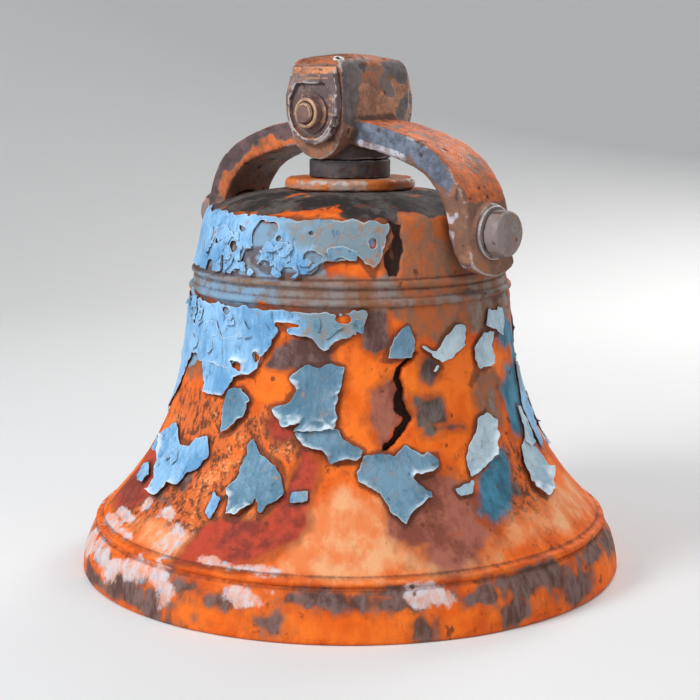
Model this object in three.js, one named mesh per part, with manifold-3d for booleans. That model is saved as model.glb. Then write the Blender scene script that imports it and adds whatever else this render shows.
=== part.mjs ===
// Yard dinner bell: a cast-iron bell with a flared mouth, hung from a cast bow.
// The bow's two arms are bolted to the bell's shoulder, its hub stands on the crown over a
// neck spacer, and a pivot pin with two collars turns in bushes inside the hub. A stud through
// the crown ends in a fork that carries the swinging clapper.
// Millimetres, +Z up, origin at the centre of the mouth plane, the bow along X, the pivot pin along Y.
import * as THREE from "three";
import { mergeVertices } from "three/addons/utils/BufferGeometryUtils.js";
import Module from "manifold-3d";

const wasm = await Module();
wasm.setup();

// ---- Driving dimensions -------------------------------------------------------------------------

const GAP = 0.3; // between any two pieces that touch or turn in each other

// Bell casting
const MOUTH_R = 190;
const LIP_H = 33; // height of the rounded lip face
const LIP_DRAW_IN = 11; // how far the lip face leans in over that height
const LIP_EDGE = 1.5; // rounding of the lower outer edge
const RIM_LAND = 13; // width of the flat rim that the bell stands on
const RIDGE_BEAD_R = 2.4;
const WAIST_TOP_R = 111;
const WAIST_TOP_Z = 192;
const BEAD_R = 2.5; // the two beads above the waist
const BEAD_SPACING = 11.5;
const SHOULDER_TOP_R = 100;
const SHOULDER_H = 54; // from the waist's top to the shoulder's upper corner
const CROWN_RISE = 16; // from there to the crown's seat
const CROWN_SEAT_R = 48; // flat top of the crown
const WAIST_WALL = 7.5;
const SOUND_BOW_WALL = 13; // thickest wall, just above the lip
const CROWN_WALL = 9;

// Bow: a basket-handle arch, two small side arcs joined by one large one
const BOW_WIDTH = 45;
const BOW_THICKNESS = 18;
const BOW_SIDE_R = 63; // outer radius of each side arc
const BOW_TOP_DROP = 3; // from the pivot axis down to the top of the arch
const FOOT_WALL = 14.5; // between the saddle washer's seat and the leg's outer face
const LEG_SPLAY = 0.5; // how far the foot stands off the shoulder's slope
const LEG_DROP = 19; // from the side arc's centre to the foot's corners
const FOOT_ROUND = 8; // how far the foot's rounded end drops below its corners
const BOW_BEVEL = 1.6;

// Hub with its bushes, caps and pivot pin
const HUB_HALF = 24; // half width, and the radius of the rounded underside
const HUB_BOTTOM = 31.5; // underside below the axis
const HUB_TOP = 39.5; // top above the axis
const HUB_CORNER = 17;
const HUB_LENGTH = 68;
const HUB_CREST = 8; // level part of the top, to each side of the middle
const HUB_SHOULDER_Y = 31.5; // where the top breaks from its gentle slope to the steep one
const HUB_SHOULDER_Z = 35;
const CAP_THICKNESS = 5.6;
const CAP_HALF = 23.5;
const CAP_CENTRE = 2; // the round underside's centre above the axis
const CAP_TOP = 23.4; // flat top edge of the cap's face above the axis
const CAP_RIM = 4.2;
const CAP_RECESS = 3;
const CAP_SPIGOT = 3;
const PIN_R = 7;
const PIN_PROUD = 1.9; // the pin's end beyond its collar
const BUSH_WALL = 5.5;
const BUSH_LENGTH = 20;
const WASHER_RIM = 6.4; // beyond the pin
const WASHER_THICKNESS = 2;
const COLLAR_WALL = 3.2;
const COLLAR_THICKNESS = 5.5;
const GRUB_R = 1.9;
const OIL_CUP_R = 4;
const OIL_HOLE_R = 1.6;
const OIL_CUP_X = 13.5; // beside the hub's middle
const OIL_CUP_Y = 26.5; // in front of the hub's middle
const OIL_SEAT = 0.9; // depth of the cup's seat in the casting, at its middle
const OIL_WAY_WALL = 1; // wall of the cup's tube below its flange
const OIL_WAY_DEPTH = 32; // from the cup's seat down past the pin's upper side
const OIL_TUBE_DEPTH = 9;

// Neck, crown plate and stud
const NECK_R = 28;
const CROWN_PLATE_R = 45;
const CROWN_PLATE_THICKNESS = 7.7;
const NECK_H = 11.9;
const STUD_R = 9;
const STUD_GRIP = 13; // length held in the hub
const CROWN_WASHER_R = 22;
const CROWN_WASHER_THICKNESS = 3;
const CROWN_NUT_FLATS = 30;
const CROWN_NUT_THICKNESS = 14;

// Side bolts
const BOLT_DROP = 7; // below the shoulder's upper corner
const BOLT_OVER_ARC = 1.5; // above the centre of the bow's side arc
const BOLT_R = 8;
const BOLT_HEAD_R = 15;
const BOLT_HEAD_THICKNESS = 11.5;
const BOLT_WASHER_R = 17.5;
const BOLT_WASHER_THICKNESS = 2;
const FOOT_BOSS_R = 19;
const FOOT_BOSS_PROUD = 2.5; // beyond the leg's outer face
const FOOT_BOSS_ROOT = 6; // below the leg's outer face
const SADDLE_R = 16;
const SADDLE_THICKNESS = 5.5; // on the bolt's axis
const INNER_BOSS_R = 15; // tapped boss inside the shoulder
const INNER_BOSS_DEPTH = 20; // from the shoulder's outer face

// Clapper
const FORK_GAP = 16;
const FORK_EAR = 6;
const FORK_BASE = 5;
const CLAPPER_PIN_R = 5;
const CLAPPER_PIN_DROP = 26; // pivot below the crown nut
const CLAPPER_PIN_HEAD_RIM = 3; // beyond the pin
const CLAPPER_PIN_HEAD = 3;
const CLAPPER_WASHER_RIM = 4; // beyond the pin
const CLAPPER_WASHER_THICKNESS = 1.5;
const EYE_R = 11;
const EYE_THICKNESS = 13;
const ROD_R = 6.5;
const BALL_R = 28;
const BALL_CLEAR = 12; // under the ball to the mouth plane
const TAIL_CLEAR = 4; // under the clapper's tail to the mouth plane
const ROPE_HOLE_R = 2.4;
const BALL_RIVET_R = 3;
const SPLIT_PIN_R = 1.2;
const SPLIT_PIN_LEG = 5; // below the clapper pin
const SPLIT_RING_R = 2.4;
const SPLIT_RING_WIRE_R = 0.9;

const BELL_SIDES = 60;
const ROUND_SIDES = 24;

// ---- Materials ----------------------------------------------------------------------------------

const finish = (colour, roughness, metalness) =>
  new THREE.MeshStandardMaterial({ color: colour, roughness, metalness });
const PAINTED_IRON = finish(0xe8702c, 0.72, 0.1);
const BOW_IRON = finish(0x9a5a3c, 0.78, 0.35);
const HUB_IRON = finish(0x8c6a5a, 0.7, 0.4);
const NECK_IRON = finish(0x5b5a5e, 0.65, 0.5);
const BOLT_STEEL = finish(0x8d827f, 0.5, 0.75);
const PIN_STEEL = finish(0x75585a, 0.55, 0.7);
const BRONZE = finish(0x9b7440, 0.5, 0.8);
const CLAPPER_IRON = finish(0x4e4a48, 0.7, 0.5);

// ---- Solids -------------------------------------------------------------------------------------

// A closed geometry as a manifold-3d solid.
function solid(geometry) {
  const bare = geometry.clone();
  bare.deleteAttribute("normal");
  bare.deleteAttribute("uv");
  const merged = mergeVertices(bare, 1e-3);
  return new wasm.Manifold(
    new wasm.Mesh({
      numProp: 3,
      vertProperties: merged.attributes.position.array,
      triVerts: new Uint32Array(merged.index.array),
    }),
  );
}

// A manifold-3d solid back as a geometry.
function geometryOf(made) {
  const mesh = made.getMesh();
  const geometry = new THREE.BufferGeometry();
  geometry.setAttribute("position", new THREE.BufferAttribute(mesh.vertProperties, 3));
  geometry.setIndex(new THREE.BufferAttribute(mesh.triVerts, 1));
  geometry.computeVertexNormals();
  return geometry;
}

// A round solid about +Z from a profile of [radius, height] points, outer side upwards.
function turned(profile, sides = ROUND_SIDES) {
  const points = profile.map(([r, z]) => new THREE.Vector2(r, z));
  return new THREE.LatheGeometry(points, sides).rotateX(Math.PI / 2);
}

// A plain round bar about +Z between two heights.
function bar(radius, low, high, sides = ROUND_SIDES) {
  return turned([[0, low], [radius, low], [radius, high], [0, high]], sides);
}

// A round bar with a chamfer on each end.
function chamferedBar(radius, low, high, chamfer, sides = ROUND_SIDES) {
  return turned(
    [
      [0, low],
      [radius - chamfer, low],
      [radius, low + chamfer],
      [radius, high - chamfer],
      [radius - chamfer, high],
      [0, high],
    ],
    sides,
  );
}

// A flat ring about +Z.
function ring(outer, inner, low, high, sides = ROUND_SIDES) {
  return turned([[inner, low], [outer, low], [outer, high], [inner, high], [inner, low]], sides);
}

// A hexagon nut about +Z with a plain bore.
function nut(flats, bore, low, high) {
  const corners = flats / Math.sqrt(3);
  return solid(bar(corners, low, high, 6)).subtract(solid(bar(bore, low - 1, high + 1)));
}

// An outline in X and Z, given thickness along Y between two places.
function slab(shape, front, back, bevel = 0, curveSegments = 16) {
  const geometry = new THREE.ExtrudeGeometry(shape, {
    depth: back - front - 2 * bevel,
    bevelEnabled: bevel > 0,
    bevelThickness: bevel,
    bevelSize: bevel,
    bevelOffset: -bevel,
    bevelSegments: 1,
    curveSegments,
  });
  return geometry.rotateX(Math.PI / 2).translate(0, back - bevel, 0);
}

// Turns a solid about +Z so that its axis lies along +X or +Y.
const alongX = (geometry) => geometry.rotateY(Math.PI / 2);
const alongY = (geometry) => geometry.rotateX(-Math.PI / 2);

// ---- Heights and radii that follow from the sizes above -----------------------------------------

const shoulderTopZ = WAIST_TOP_Z + SHOULDER_H;
const crownZ = shoulderTopZ + CROWN_RISE;
const plateZ = crownZ + GAP;
const neckZ = plateZ + CROWN_PLATE_THICKNESS + GAP;
const hubUnderZ = neckZ + NECK_H + GAP;
const hubZ = hubUnderZ + HUB_BOTTOM; // the pivot axis
const boltZ = shoulderTopZ - BOLT_DROP;
const boreR = PIN_R + BUSH_WALL + 2 * GAP;
const collarR = PIN_R + COLLAR_WALL;

// ---- Bell casting -------------------------------------------------------------------------------

const flare = new THREE.CubicBezierCurve(
  new THREE.Vector2(MOUTH_R - 14, LIP_H + 4),
  new THREE.Vector2(MOUTH_R - 63.5, LIP_H + 53.5),
  new THREE.Vector2(WAIST_TOP_R + 5.5, WAIST_TOP_Z - 67),
  new THREE.Vector2(WAIST_TOP_R, WAIST_TOP_Z),
);
const shoulderCorner = new THREE.QuadraticBezierCurve(
  new THREE.Vector2(SHOULDER_TOP_R + 0.6, shoulderTopZ - 3),
  new THREE.Vector2(SHOULDER_TOP_R - 1, shoulderTopZ + 3.5),
  new THREE.Vector2(SHOULDER_TOP_R - 9, shoulderTopZ + 5.5),
);
const dome = new THREE.QuadraticBezierCurve(
  shoulderCorner.v2,
  new THREE.Vector2((SHOULDER_TOP_R + CROWN_SEAT_R) / 2, crownZ - 2),
  new THREE.Vector2(CROWN_SEAT_R, crownZ),
);

// The radius of the shoulder's outer face at a height between the waist and the shoulder corner.
function shoulderRadius(z) {
  const share = (z - WAIST_TOP_Z) / (shoulderCorner.v0.y - WAIST_TOP_Z);
  return THREE.MathUtils.lerp(WAIST_TOP_R, shoulderCorner.v0.x, share);
}

// The outer skin above the lip, from the flare to the crown's flat seat, with its wall at each point.
function skin(flareSteps, cornerSteps, domeSteps) {
  const points = [];
  for (let i = 0; i <= flareSteps; i++) {
    const t = i / flareSteps;
    const wall = THREE.MathUtils.lerp(SOUND_BOW_WALL, WAIST_WALL, Math.min(1, t * 2.2));
    points.push({ at: flare.getPoint(t), tangent: flare.getTangent(t), wall });
  }
  for (let i = 0; i <= cornerSteps; i++) {
    const t = i / cornerSteps;
    const tangent = shoulderCorner.getTangent(t);
    points.push({ at: shoulderCorner.getPoint(t), tangent, wall: WAIST_WALL });
  }
  for (let i = 1; i <= domeSteps; i++) {
    const t = i / domeSteps;
    const wall = THREE.MathUtils.lerp(WAIST_WALL, CROWN_WALL, t);
    points.push({ at: dome.getPoint(t), tangent: dome.getTangent(t), wall });
  }
  return points;
}

// Half-round bead of a given radius standing on the shoulder or the lip, as [radius, height] points.
function bead(r, z, beadR) {
  return [-90, -40, 40, 90].map((deg) => {
    const a = THREE.MathUtils.degToRad(deg);
    return [r + beadR * Math.cos(a) * 0.9, z + beadR * Math.sin(a)];
  });
}

// The outside of the bell, from the rim up to the crown, as [radius, height] points, grown by a margin.
function outerProfile(margin = 0) {
  const lipTop = MOUTH_R - LIP_DRAW_IN;
  const lip = new THREE.QuadraticBezierCurve(
    new THREE.Vector2(MOUTH_R, LIP_EDGE),
    new THREE.Vector2(MOUTH_R - 1.2, LIP_H * 0.62),
    new THREE.Vector2(lipTop, LIP_H - 0.4),
  );
  const points = [[MOUTH_R - LIP_EDGE, 0], ...lip.getPoints(5).map((p) => [p.x, p.y])];
  points.push(...bead(lipTop - 1.6, LIP_H + RIDGE_BEAD_R - 0.4, RIDGE_BEAD_R).slice(1));
  const wall = skin(11, 3, 3);
  points.push(...wall.slice(1, 12).map((p) => [p.at.x, p.at.y]));
  const lowBead = WAIST_TOP_Z + 2 + BEAD_R;
  points.push(...bead(shoulderRadius(lowBead), lowBead, BEAD_R));
  points.push(...bead(shoulderRadius(lowBead + BEAD_SPACING), lowBead + BEAD_SPACING, BEAD_R));
  points.push(...wall.slice(12).map((p) => [p.at.x, p.at.y]));
  return points.map(([r, z]) => [r + margin, z + (z > shoulderTopZ ? margin : 0)]);
}

// The inside of the bell, from the crown down to the rim, as [radius, height] points.
function innerProfile() {
  const points = skin(8, 2, 2).map(({ at, tangent, wall }) => {
    const inward = new THREE.Vector2(-tangent.y, tangent.x);
    return [at.x + inward.x * wall, at.y + inward.y * wall];
  });
  const rimInner = MOUTH_R - LIP_EDGE - RIM_LAND;
  points.unshift([rimInner - 5.5, LIP_H * 0.42]);
  points.unshift([rimInner, 0]);
  return points.reverse();
}

function bellShell() {
  const outer = outerProfile();
  const inner = innerProfile();
  const crownInside = crownZ - CROWN_WALL;
  const profile = [...outer, [0, crownZ], [0, crownInside], ...inner, outer[0]];
  let made = solid(turned(profile, BELL_SIDES));
  const studHole = solid(bar(STUD_R + GAP, crownInside - 5, crownZ + 5));
  const face = shoulderRadius(boltZ);
  const envelope = solid(turned([[0, 0], ...outer, [0, crownZ]], BELL_SIDES));
  for (const side of [1, -1]) {
    const boss = alongX(bar(INNER_BOSS_R, face - INNER_BOSS_DEPTH, face, 24)).translate(0, 0, boltZ);
    const hole = alongX(bar(BOLT_R + GAP, face - INNER_BOSS_DEPTH - 5, face + 10)).translate(0, 0, boltZ);
    if (side < 0) {
      boss.rotateZ(Math.PI);
      hole.rotateZ(Math.PI);
    }
    made = made.add(solid(boss).intersect(envelope)).subtract(solid(hole));
  }
  return geometryOf(made.subtract(studHole));
}

// ---- Bow and hub --------------------------------------------------------------------------------

const seatX = shoulderRadius(boltZ) + SADDLE_THICKNESS; // the flat on the leg's inner side for the saddle
const legOuterX = seatX + FOOT_WALL;
const bossX = legOuterX + FOOT_BOSS_PROUD; // the flat under the side bolt's washer
const sideX = legOuterX - BOW_SIDE_R; // centre of each side arc
const sideZ = boltZ - BOLT_OVER_ARC;
const footCornerZ = sideZ - LEG_DROP;
const footZ = footCornerZ - FOOT_ROUND;
const legLean = shoulderRadius(footZ) - shoulderRadius(sideZ) + LEG_SPLAY; // out with the shoulder's slope

// The large arc passes through the arch's top and runs smoothly into both side arcs.
const archRise = hubZ - BOW_TOP_DROP - sideZ;
const archR = (sideX ** 2 + archRise ** 2 - BOW_SIDE_R ** 2) / (2 * (archRise - BOW_SIDE_R));
const archZ = hubZ - BOW_TOP_DROP - archR;
const archBlend = Math.asin(sideX / (archR - BOW_SIDE_R)); // where the arcs meet, from the vertical

// The arch in X and Z, both legs down to their feet.
function bowOutline() {
  const shape = new THREE.Shape();
  const innerTopR = archR - BOW_THICKNESS;
  const innerSideR = BOW_SIDE_R - BOW_THICKNESS;
  const legInnerX = legOuterX - BOW_THICKNESS;
  const up = Math.PI / 2;
  shape.moveTo(legOuterX + legLean, footZ);
  shape.lineTo(legOuterX, sideZ);
  shape.absarc(sideX, sideZ, BOW_SIDE_R, 0, up - archBlend);
  shape.absarc(0, archZ, archR, up - archBlend, up + archBlend);
  shape.absarc(-sideX, sideZ, BOW_SIDE_R, up + archBlend, Math.PI);
  shape.lineTo(-legOuterX - legLean, footZ);
  shape.lineTo(-legOuterX, footZ);
  shape.lineTo(-legInnerX - legLean * 0.7, footCornerZ + 7);
  shape.lineTo(-legInnerX, sideZ);
  shape.absarc(-sideX, sideZ, innerSideR, Math.PI, up + archBlend, true);
  shape.absarc(0, archZ, innerTopR, up + archBlend, up - archBlend, true);
  shape.absarc(sideX, sideZ, innerSideR, up - archBlend, 0, true);
  shape.lineTo(legInnerX + legLean * 0.7, footCornerZ + 7);
  shape.lineTo(legOuterX, footZ);
  shape.closePath();
  return shape;
}

// The feet's rounded ends, as an outline in Y and Z that the bow is cut to.
function footOutline() {
  const half = BOW_WIDTH / 2;
  const shape = new THREE.Shape();
  shape.moveTo(half + 1, hubZ + HUB_TOP);
  shape.lineTo(-half - 1, hubZ + HUB_TOP);
  shape.lineTo(-half - 1, footCornerZ);
  shape.quadraticCurveTo(0, footCornerZ - 2 * FOOT_ROUND, half + 1, footCornerZ);
  shape.closePath();
  return shape;
}

// The hub's section in X and Z about the pivot axis: round below, soft-cornered above.
const hubCorner = new THREE.QuadraticBezierCurve(
  new THREE.Vector2(HUB_HALF, HUB_TOP - HUB_CORNER),
  new THREE.Vector2(HUB_HALF - 0.5, HUB_TOP),
  new THREE.Vector2(HUB_HALF - HUB_CORNER, HUB_TOP),
);
function hubOutline() {
  const shape = new THREE.Shape();
  const corner = hubCorner.getPoints(7);
  const low = HUB_HALF - HUB_BOTTOM;
  shape.moveTo(HUB_HALF, low);
  for (const p of corner) shape.lineTo(p.x, p.y);
  for (const p of corner.reverse()) shape.lineTo(-p.x, p.y);
  shape.lineTo(-HUB_HALF, low);
  shape.absarc(0, low, HUB_HALF, Math.PI, 2 * Math.PI);
  return shape;
}

// The hub and its caps seen along X: the top falls away to both ends in two slopes.
const capFaceY = HUB_LENGTH / 2 + GAP + CAP_THICKNESS;
function headSideOutline() {
  const shape = new THREE.Shape();
  const beyond = 1;
  const steep = (HUB_SHOULDER_Z - CAP_TOP) / (capFaceY - HUB_SHOULDER_Y);
  shape.moveTo(-capFaceY - beyond, -HUB_BOTTOM - 5);
  shape.lineTo(capFaceY + beyond, -HUB_BOTTOM - 5);
  shape.lineTo(capFaceY + beyond, CAP_TOP - beyond * steep);
  shape.lineTo(HUB_SHOULDER_Y, HUB_SHOULDER_Z);
  shape.lineTo(HUB_CREST, HUB_TOP);
  shape.lineTo(-HUB_CREST, HUB_TOP);
  shape.lineTo(-HUB_SHOULDER_Y, HUB_SHOULDER_Z);
  shape.lineTo(-capFaceY - beyond, CAP_TOP - beyond * steep);
  shape.closePath();
  return shape;
}

// An outline in Y and Z, given thickness along X.
function crossSlab(shape, left, right, curveSegments = 12) {
  return slab(shape, left, right, 0, curveSegments).rotateZ(Math.PI / 2);
}

const headSides = solid(crossSlab(headSideOutline(), -HUB_HALF - 5, HUB_HALF + 5));

// The oil way slopes in from the corner of the hub's top towards the pivot pin.
const oilTiltBack = Math.atan2(HUB_TOP - HUB_SHOULDER_Z, HUB_SHOULDER_Y - HUB_CREST);
const oilMouthZ = HUB_TOP - (OIL_CUP_Y - HUB_CREST) * Math.tan(oilTiltBack) - OIL_SEAT - 1.2;
const oilTiltSide = Math.atan2(OIL_CUP_X, oilMouthZ);
function atOilMouth(geometry) {
  return geometry.rotateX(oilTiltBack).rotateY(oilTiltSide).translate(OIL_CUP_X, -OIL_CUP_Y, oilMouthZ);
}

function yoke() {
  const half = BOW_WIDTH / 2;
  const arch = solid(slab(bowOutline(), -half, half, BOW_BEVEL, 9));
  const feet = solid(crossSlab(footOutline(), -MOUTH_R, MOUTH_R));
  const hub = solid(slab(hubOutline(), -HUB_LENGTH / 2, HUB_LENGTH / 2)).intersect(headSides);
  let made = arch.intersect(feet).add(hub.translate([0, 0, hubZ]));
  made = made.add(solid(bar(NECK_R, hubUnderZ, hubZ - HUB_BOTTOM / 2, 48)));
  for (const side of [1, -1]) {
    const boss = alongX(bar(FOOT_BOSS_R, legOuterX - FOOT_BOSS_ROOT, bossX)).translate(0, 0, boltZ);
    const seat = alongX(bar(SADDLE_R + 1, seatX - 25, seatX)).translate(0, 0, boltZ);
    const hole = alongX(bar(BOLT_R + GAP, seatX - 5, bossX + 5)).translate(0, 0, boltZ);
    const spotFace = alongX(bar(BOLT_WASHER_R + 1.2, bossX, bossX + 20, 32)).translate(0, 0, boltZ);
    if (side < 0) {
      for (const geometry of [boss, seat, hole, spotFace]) geometry.rotateZ(Math.PI);
    }
    made = made.add(solid(boss));
    for (const cut of [seat, hole, spotFace]) made = made.subtract(solid(cut));
  }
  const bore = alongY(bar(boreR, -HUB_LENGTH, HUB_LENGTH)).translate(0, 0, hubZ);
  const studHole = bar(STUD_R + GAP, hubUnderZ - 5, hubUnderZ + STUD_GRIP + 1);
  const oilWay = atOilMouth(bar(OIL_HOLE_R + OIL_WAY_WALL, -OIL_WAY_DEPTH, 6, 16)).translate(0, 0, hubZ);
  const oilSeat = atOilMouth(bar(OIL_CUP_R + GAP, 0, 12, 24)).translate(0, 0, hubZ);
  for (const cut of [bore, studHole, oilWay, oilSeat]) made = made.subtract(solid(cut));
  return geometryOf(made);
}

// The cap's face about the pivot axis: round below, flat on top, with sloping corners.
function capOutline(inset) {
  const r = CAP_HALF - inset;
  const top = CAP_TOP - inset;
  const shape = new THREE.Shape();
  shape.moveTo(r, CAP_CENTRE);
  shape.lineTo(r, top * 0.5);
  shape.lineTo(r * 0.68, top);
  shape.lineTo(-r * 0.68, top);
  shape.lineTo(-r, top * 0.5);
  shape.lineTo(-r, CAP_CENTRE);
  shape.absarc(0, CAP_CENTRE, r, Math.PI, 2 * Math.PI);
  return shape;
}

// Bearing cap at -Y, its crest carrying the hub's steep slope down to the face.
function bearingCap() {
  const back = -HUB_LENGTH / 2 - GAP;
  const face = -capFaceY;
  const plate = solid(slab(capOutline(0), face, back, 1.2, 16));
  const shape = new THREE.Shape();
  shape.moveTo(CAP_HALF, CAP_CENTRE);
  shape.lineTo(CAP_HALF, CAP_TOP * 0.5);
  shape.lineTo(CAP_HALF * 0.72, HUB_TOP);
  shape.lineTo(-CAP_HALF * 0.72, HUB_TOP);
  shape.lineTo(-CAP_HALF, CAP_TOP * 0.5);
  shape.lineTo(-CAP_HALF, CAP_CENTRE);
  shape.closePath();
  const crest = solid(slab(shape, face + 1.2, back)).intersect(headSides);
  const recess = solid(slab(capOutline(CAP_RIM), face - 1, face + CAP_RECESS, 0, 16));
  const spigot = solid(alongY(bar(PIN_R + BUSH_WALL, back - 1, back + CAP_SPIGOT)));
  const bore = solid(alongY(bar(PIN_R + 1, face - 5, back + 10)));
  return geometryOf(plate.add(crest).subtract(recess).add(spigot).subtract(bore));
}

// Bush at -Y, drilled where the oil way reaches it when it is the oiled one.
function bush(oiled) {
  const low = -HUB_LENGTH / 2 + CAP_SPIGOT;
  const tube = alongY(ring(PIN_R + BUSH_WALL + GAP, PIN_R + GAP, low, low + BUSH_LENGTH));
  if (!oiled) return tube;
  const way = atOilMouth(bar(OIL_HOLE_R, -OIL_WAY_DEPTH, 6, 12));
  return geometryOf(solid(tube).subtract(solid(way)));
}

function oilCup() {
  const shank = OIL_HOLE_R + OIL_WAY_WALL - GAP;
  const bore = OIL_HOLE_R * 0.7;
  return atOilMouth(
    turned([
      [bore, -OIL_TUBE_DEPTH],
      [shank, -OIL_TUBE_DEPTH],
      [shank, GAP],
      [OIL_CUP_R, GAP],
      [OIL_CUP_R, 1.6],
      [OIL_CUP_R - 1, 2.6],
      [OIL_HOLE_R + 0.4, 2.6],
      [bore, 1.4],
      [bore, -OIL_TUBE_DEPTH],
    ], 24),
  );
}

// ---- Pivot pin ----------------------------------------------------------------------------------

const recessY = capFaceY - CAP_RECESS;
const washerY = recessY + GAP; // inner face of the washer
const collarY = washerY + WASHER_THICKNESS + GAP;
const grubY = collarY + COLLAR_THICKNESS / 2;
const pinEndY = collarY + COLLAR_THICKNESS + PIN_PROUD;

function collar() {
  const edge = 1;
  const body = turned([
    [PIN_R + GAP, collarY],
    [collarR, collarY],
    [collarR, collarY + COLLAR_THICKNESS - edge],
    [collarR - edge, collarY + COLLAR_THICKNESS],
    [PIN_R + GAP, collarY + COLLAR_THICKNESS],
    [PIN_R + GAP, collarY],
  ]);
  const screwHole = bar(GRUB_R + GAP, 0, collarR + 2, 16).translate(0, grubY, 0);
  return geometryOf(solid(alongY(body)).subtract(solid(screwHole)));
}

// Grub screw in the collar's top, with a screwdriver slot.
function grubScrew() {
  const body = solid(bar(GRUB_R, PIN_R + GAP, collarR - 0.2, 16));
  const slot = solid(new THREE.BoxGeometry(0.8, 6, 1.6).translate(0, 0, collarR));
  return geometryOf(body.subtract(slot));
}

// ---- Crown plate, neck spacer and stud ----------------------------------------------------------

const neckTop = hubUnderZ - GAP;

function crownPlate() {
  const round = CROWN_PLATE_THICKNESS * 0.45;
  const top = CROWN_PLATE_THICKNESS;
  return turned([
    [STUD_R + GAP, 0],
    [CROWN_PLATE_R - 1.5, 0],
    [CROWN_PLATE_R, 1.5],
    [CROWN_PLATE_R, top - round],
    [CROWN_PLATE_R - round * 0.3, top - round * 0.3],
    [CROWN_PLATE_R - round, top],
    [STUD_R + GAP, top],
    [STUD_R + GAP, 0],
  ], 56);
}

const washerTop = crownZ - CROWN_WALL - GAP;
const nutTop = washerTop - CROWN_WASHER_THICKNESS - GAP;
const forkTop = nutTop - CROWN_NUT_THICKNESS - GAP;
const clapperZ = forkTop - CLAPPER_PIN_DROP + FORK_BASE;

// Stud with its forked lower end, about the crown's axis.
function crownStud() {
  const width = 2 * EYE_R;
  const depth = FORK_GAP + 2 * FORK_EAR;
  const low = clapperZ;
  const ears = new THREE.Shape();
  ears.moveTo(width / 2, forkTop);
  ears.lineTo(-width / 2, forkTop);
  ears.lineTo(-width / 2, low);
  ears.absarc(0, low, width / 2, Math.PI, 2 * Math.PI);
  ears.closePath();
  const block = solid(slab(ears, -depth / 2, depth / 2, 0, 16));
  const gapHeight = forkTop - FORK_BASE - low + width;
  const gapMiddle = forkTop - FORK_BASE - gapHeight / 2;
  const slot = solid(new THREE.BoxGeometry(width + 4, FORK_GAP, gapHeight).translate(0, 0, gapMiddle));
  const pinHole = solid(alongY(bar(CLAPPER_PIN_R + GAP, -depth, depth)).translate(0, 0, low));
  const shank = solid(chamferedBar(STUD_R, forkTop - 1, hubUnderZ + STUD_GRIP, 1.5));
  return geometryOf(block.subtract(slot).subtract(pinHole).add(shank));
}

// ---- Side bolts ---------------------------------------------------------------------------------

function sideBolt() {
  const seat = bossX + GAP + BOLT_WASHER_THICKNESS + GAP;
  const tip = shoulderRadius(boltZ) - INNER_BOSS_DEPTH + 2;
  const face = seat + BOLT_HEAD_THICKNESS;
  return turned([
    [0, tip],
    [BOLT_R - 1.2, tip],
    [BOLT_R, tip + 1.2],
    [BOLT_R, seat],
    [BOLT_HEAD_R - 0.6, seat],
    [BOLT_HEAD_R, seat + 1],
    [BOLT_HEAD_R, face - 2.4],
    [BOLT_HEAD_R - 0.8, face - 0.8],
    [BOLT_HEAD_R - 2.4, face],
    [0, face],
  ]);
}

// Wedge-shaped washer between the bell's shoulder and the bow's leg.
function saddle() {
  const tube = alongX(ring(SADDLE_R, BOLT_R + GAP, shoulderRadius(boltZ) - 4, seatX - GAP));
  tube.translate(0, 0, boltZ);
  const bell = solid(turned([[0, 0], ...outerProfile(GAP), [0, crownZ + GAP]], BELL_SIDES));
  return geometryOf(solid(tube).subtract(bell));
}

// ---- Clapper, about its own pivot ---------------------------------------------------------------

const ballZ = BALL_CLEAR + BALL_R - clapperZ;
const tailZ = TAIL_CLEAR - clapperZ;

function clapperRod() {
  const eye = alongY(ring(EYE_R, CLAPPER_PIN_R + GAP, -EYE_THICKNESS / 2, EYE_THICKNESS / 2));
  const shank = bar(ROD_R, tailZ, -EYE_R + 2, 24);
  const rope = alongY(bar(ROPE_HOLE_R, -10, 10, 12)).translate(0, 0, tailZ + ROPE_HOLE_R + 2);
  const rivet = alongY(bar(BALL_RIVET_R + GAP, -10, 10, 16)).translate(0, 0, ballZ);
  return geometryOf(solid(eye).add(solid(shank)).subtract(solid(rope)).subtract(solid(rivet)));
}

function clapperBall() {
  const ball = solid(new THREE.SphereGeometry(BALL_R, 24, 14).rotateX(Math.PI / 2));
  const hole = solid(bar(ROD_R + GAP, -BALL_R - 2, BALL_R + 2));
  const rivet = solid(alongY(bar(BALL_RIVET_R + GAP, -BALL_R - 2, BALL_R + 2, 16)));
  return geometryOf(ball.subtract(hole).subtract(rivet));
}

// Pin through the fork, headed at -Y, drilled for the split pin at +Y.
const forkHalf = FORK_GAP / 2 + FORK_EAR;
const splitY = forkHalf + 2 * GAP + CLAPPER_WASHER_THICKNESS + SPLIT_PIN_R + 0.4;
function clapperPin() {
  const headSeat = -forkHalf - GAP;
  const headFace = headSeat - CLAPPER_PIN_HEAD;
  const headR = CLAPPER_PIN_R + CLAPPER_PIN_HEAD_RIM;
  const chamfer = 0.6;
  const tip = splitY + 4.4;
  const pin = turned([
    [0, headFace],
    [headR - chamfer, headFace],
    [headR, headFace + chamfer],
    [headR, headSeat],
    [CLAPPER_PIN_R, headSeat],
    [CLAPPER_PIN_R, tip - 1],
    [CLAPPER_PIN_R - 1, tip],
    [0, tip],
  ], 24);
  const hole = bar(SPLIT_PIN_R + GAP, -9, 9, 12).translate(0, splitY, 0);
  return geometryOf(solid(alongY(pin)).subtract(solid(hole)));
}

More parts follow.
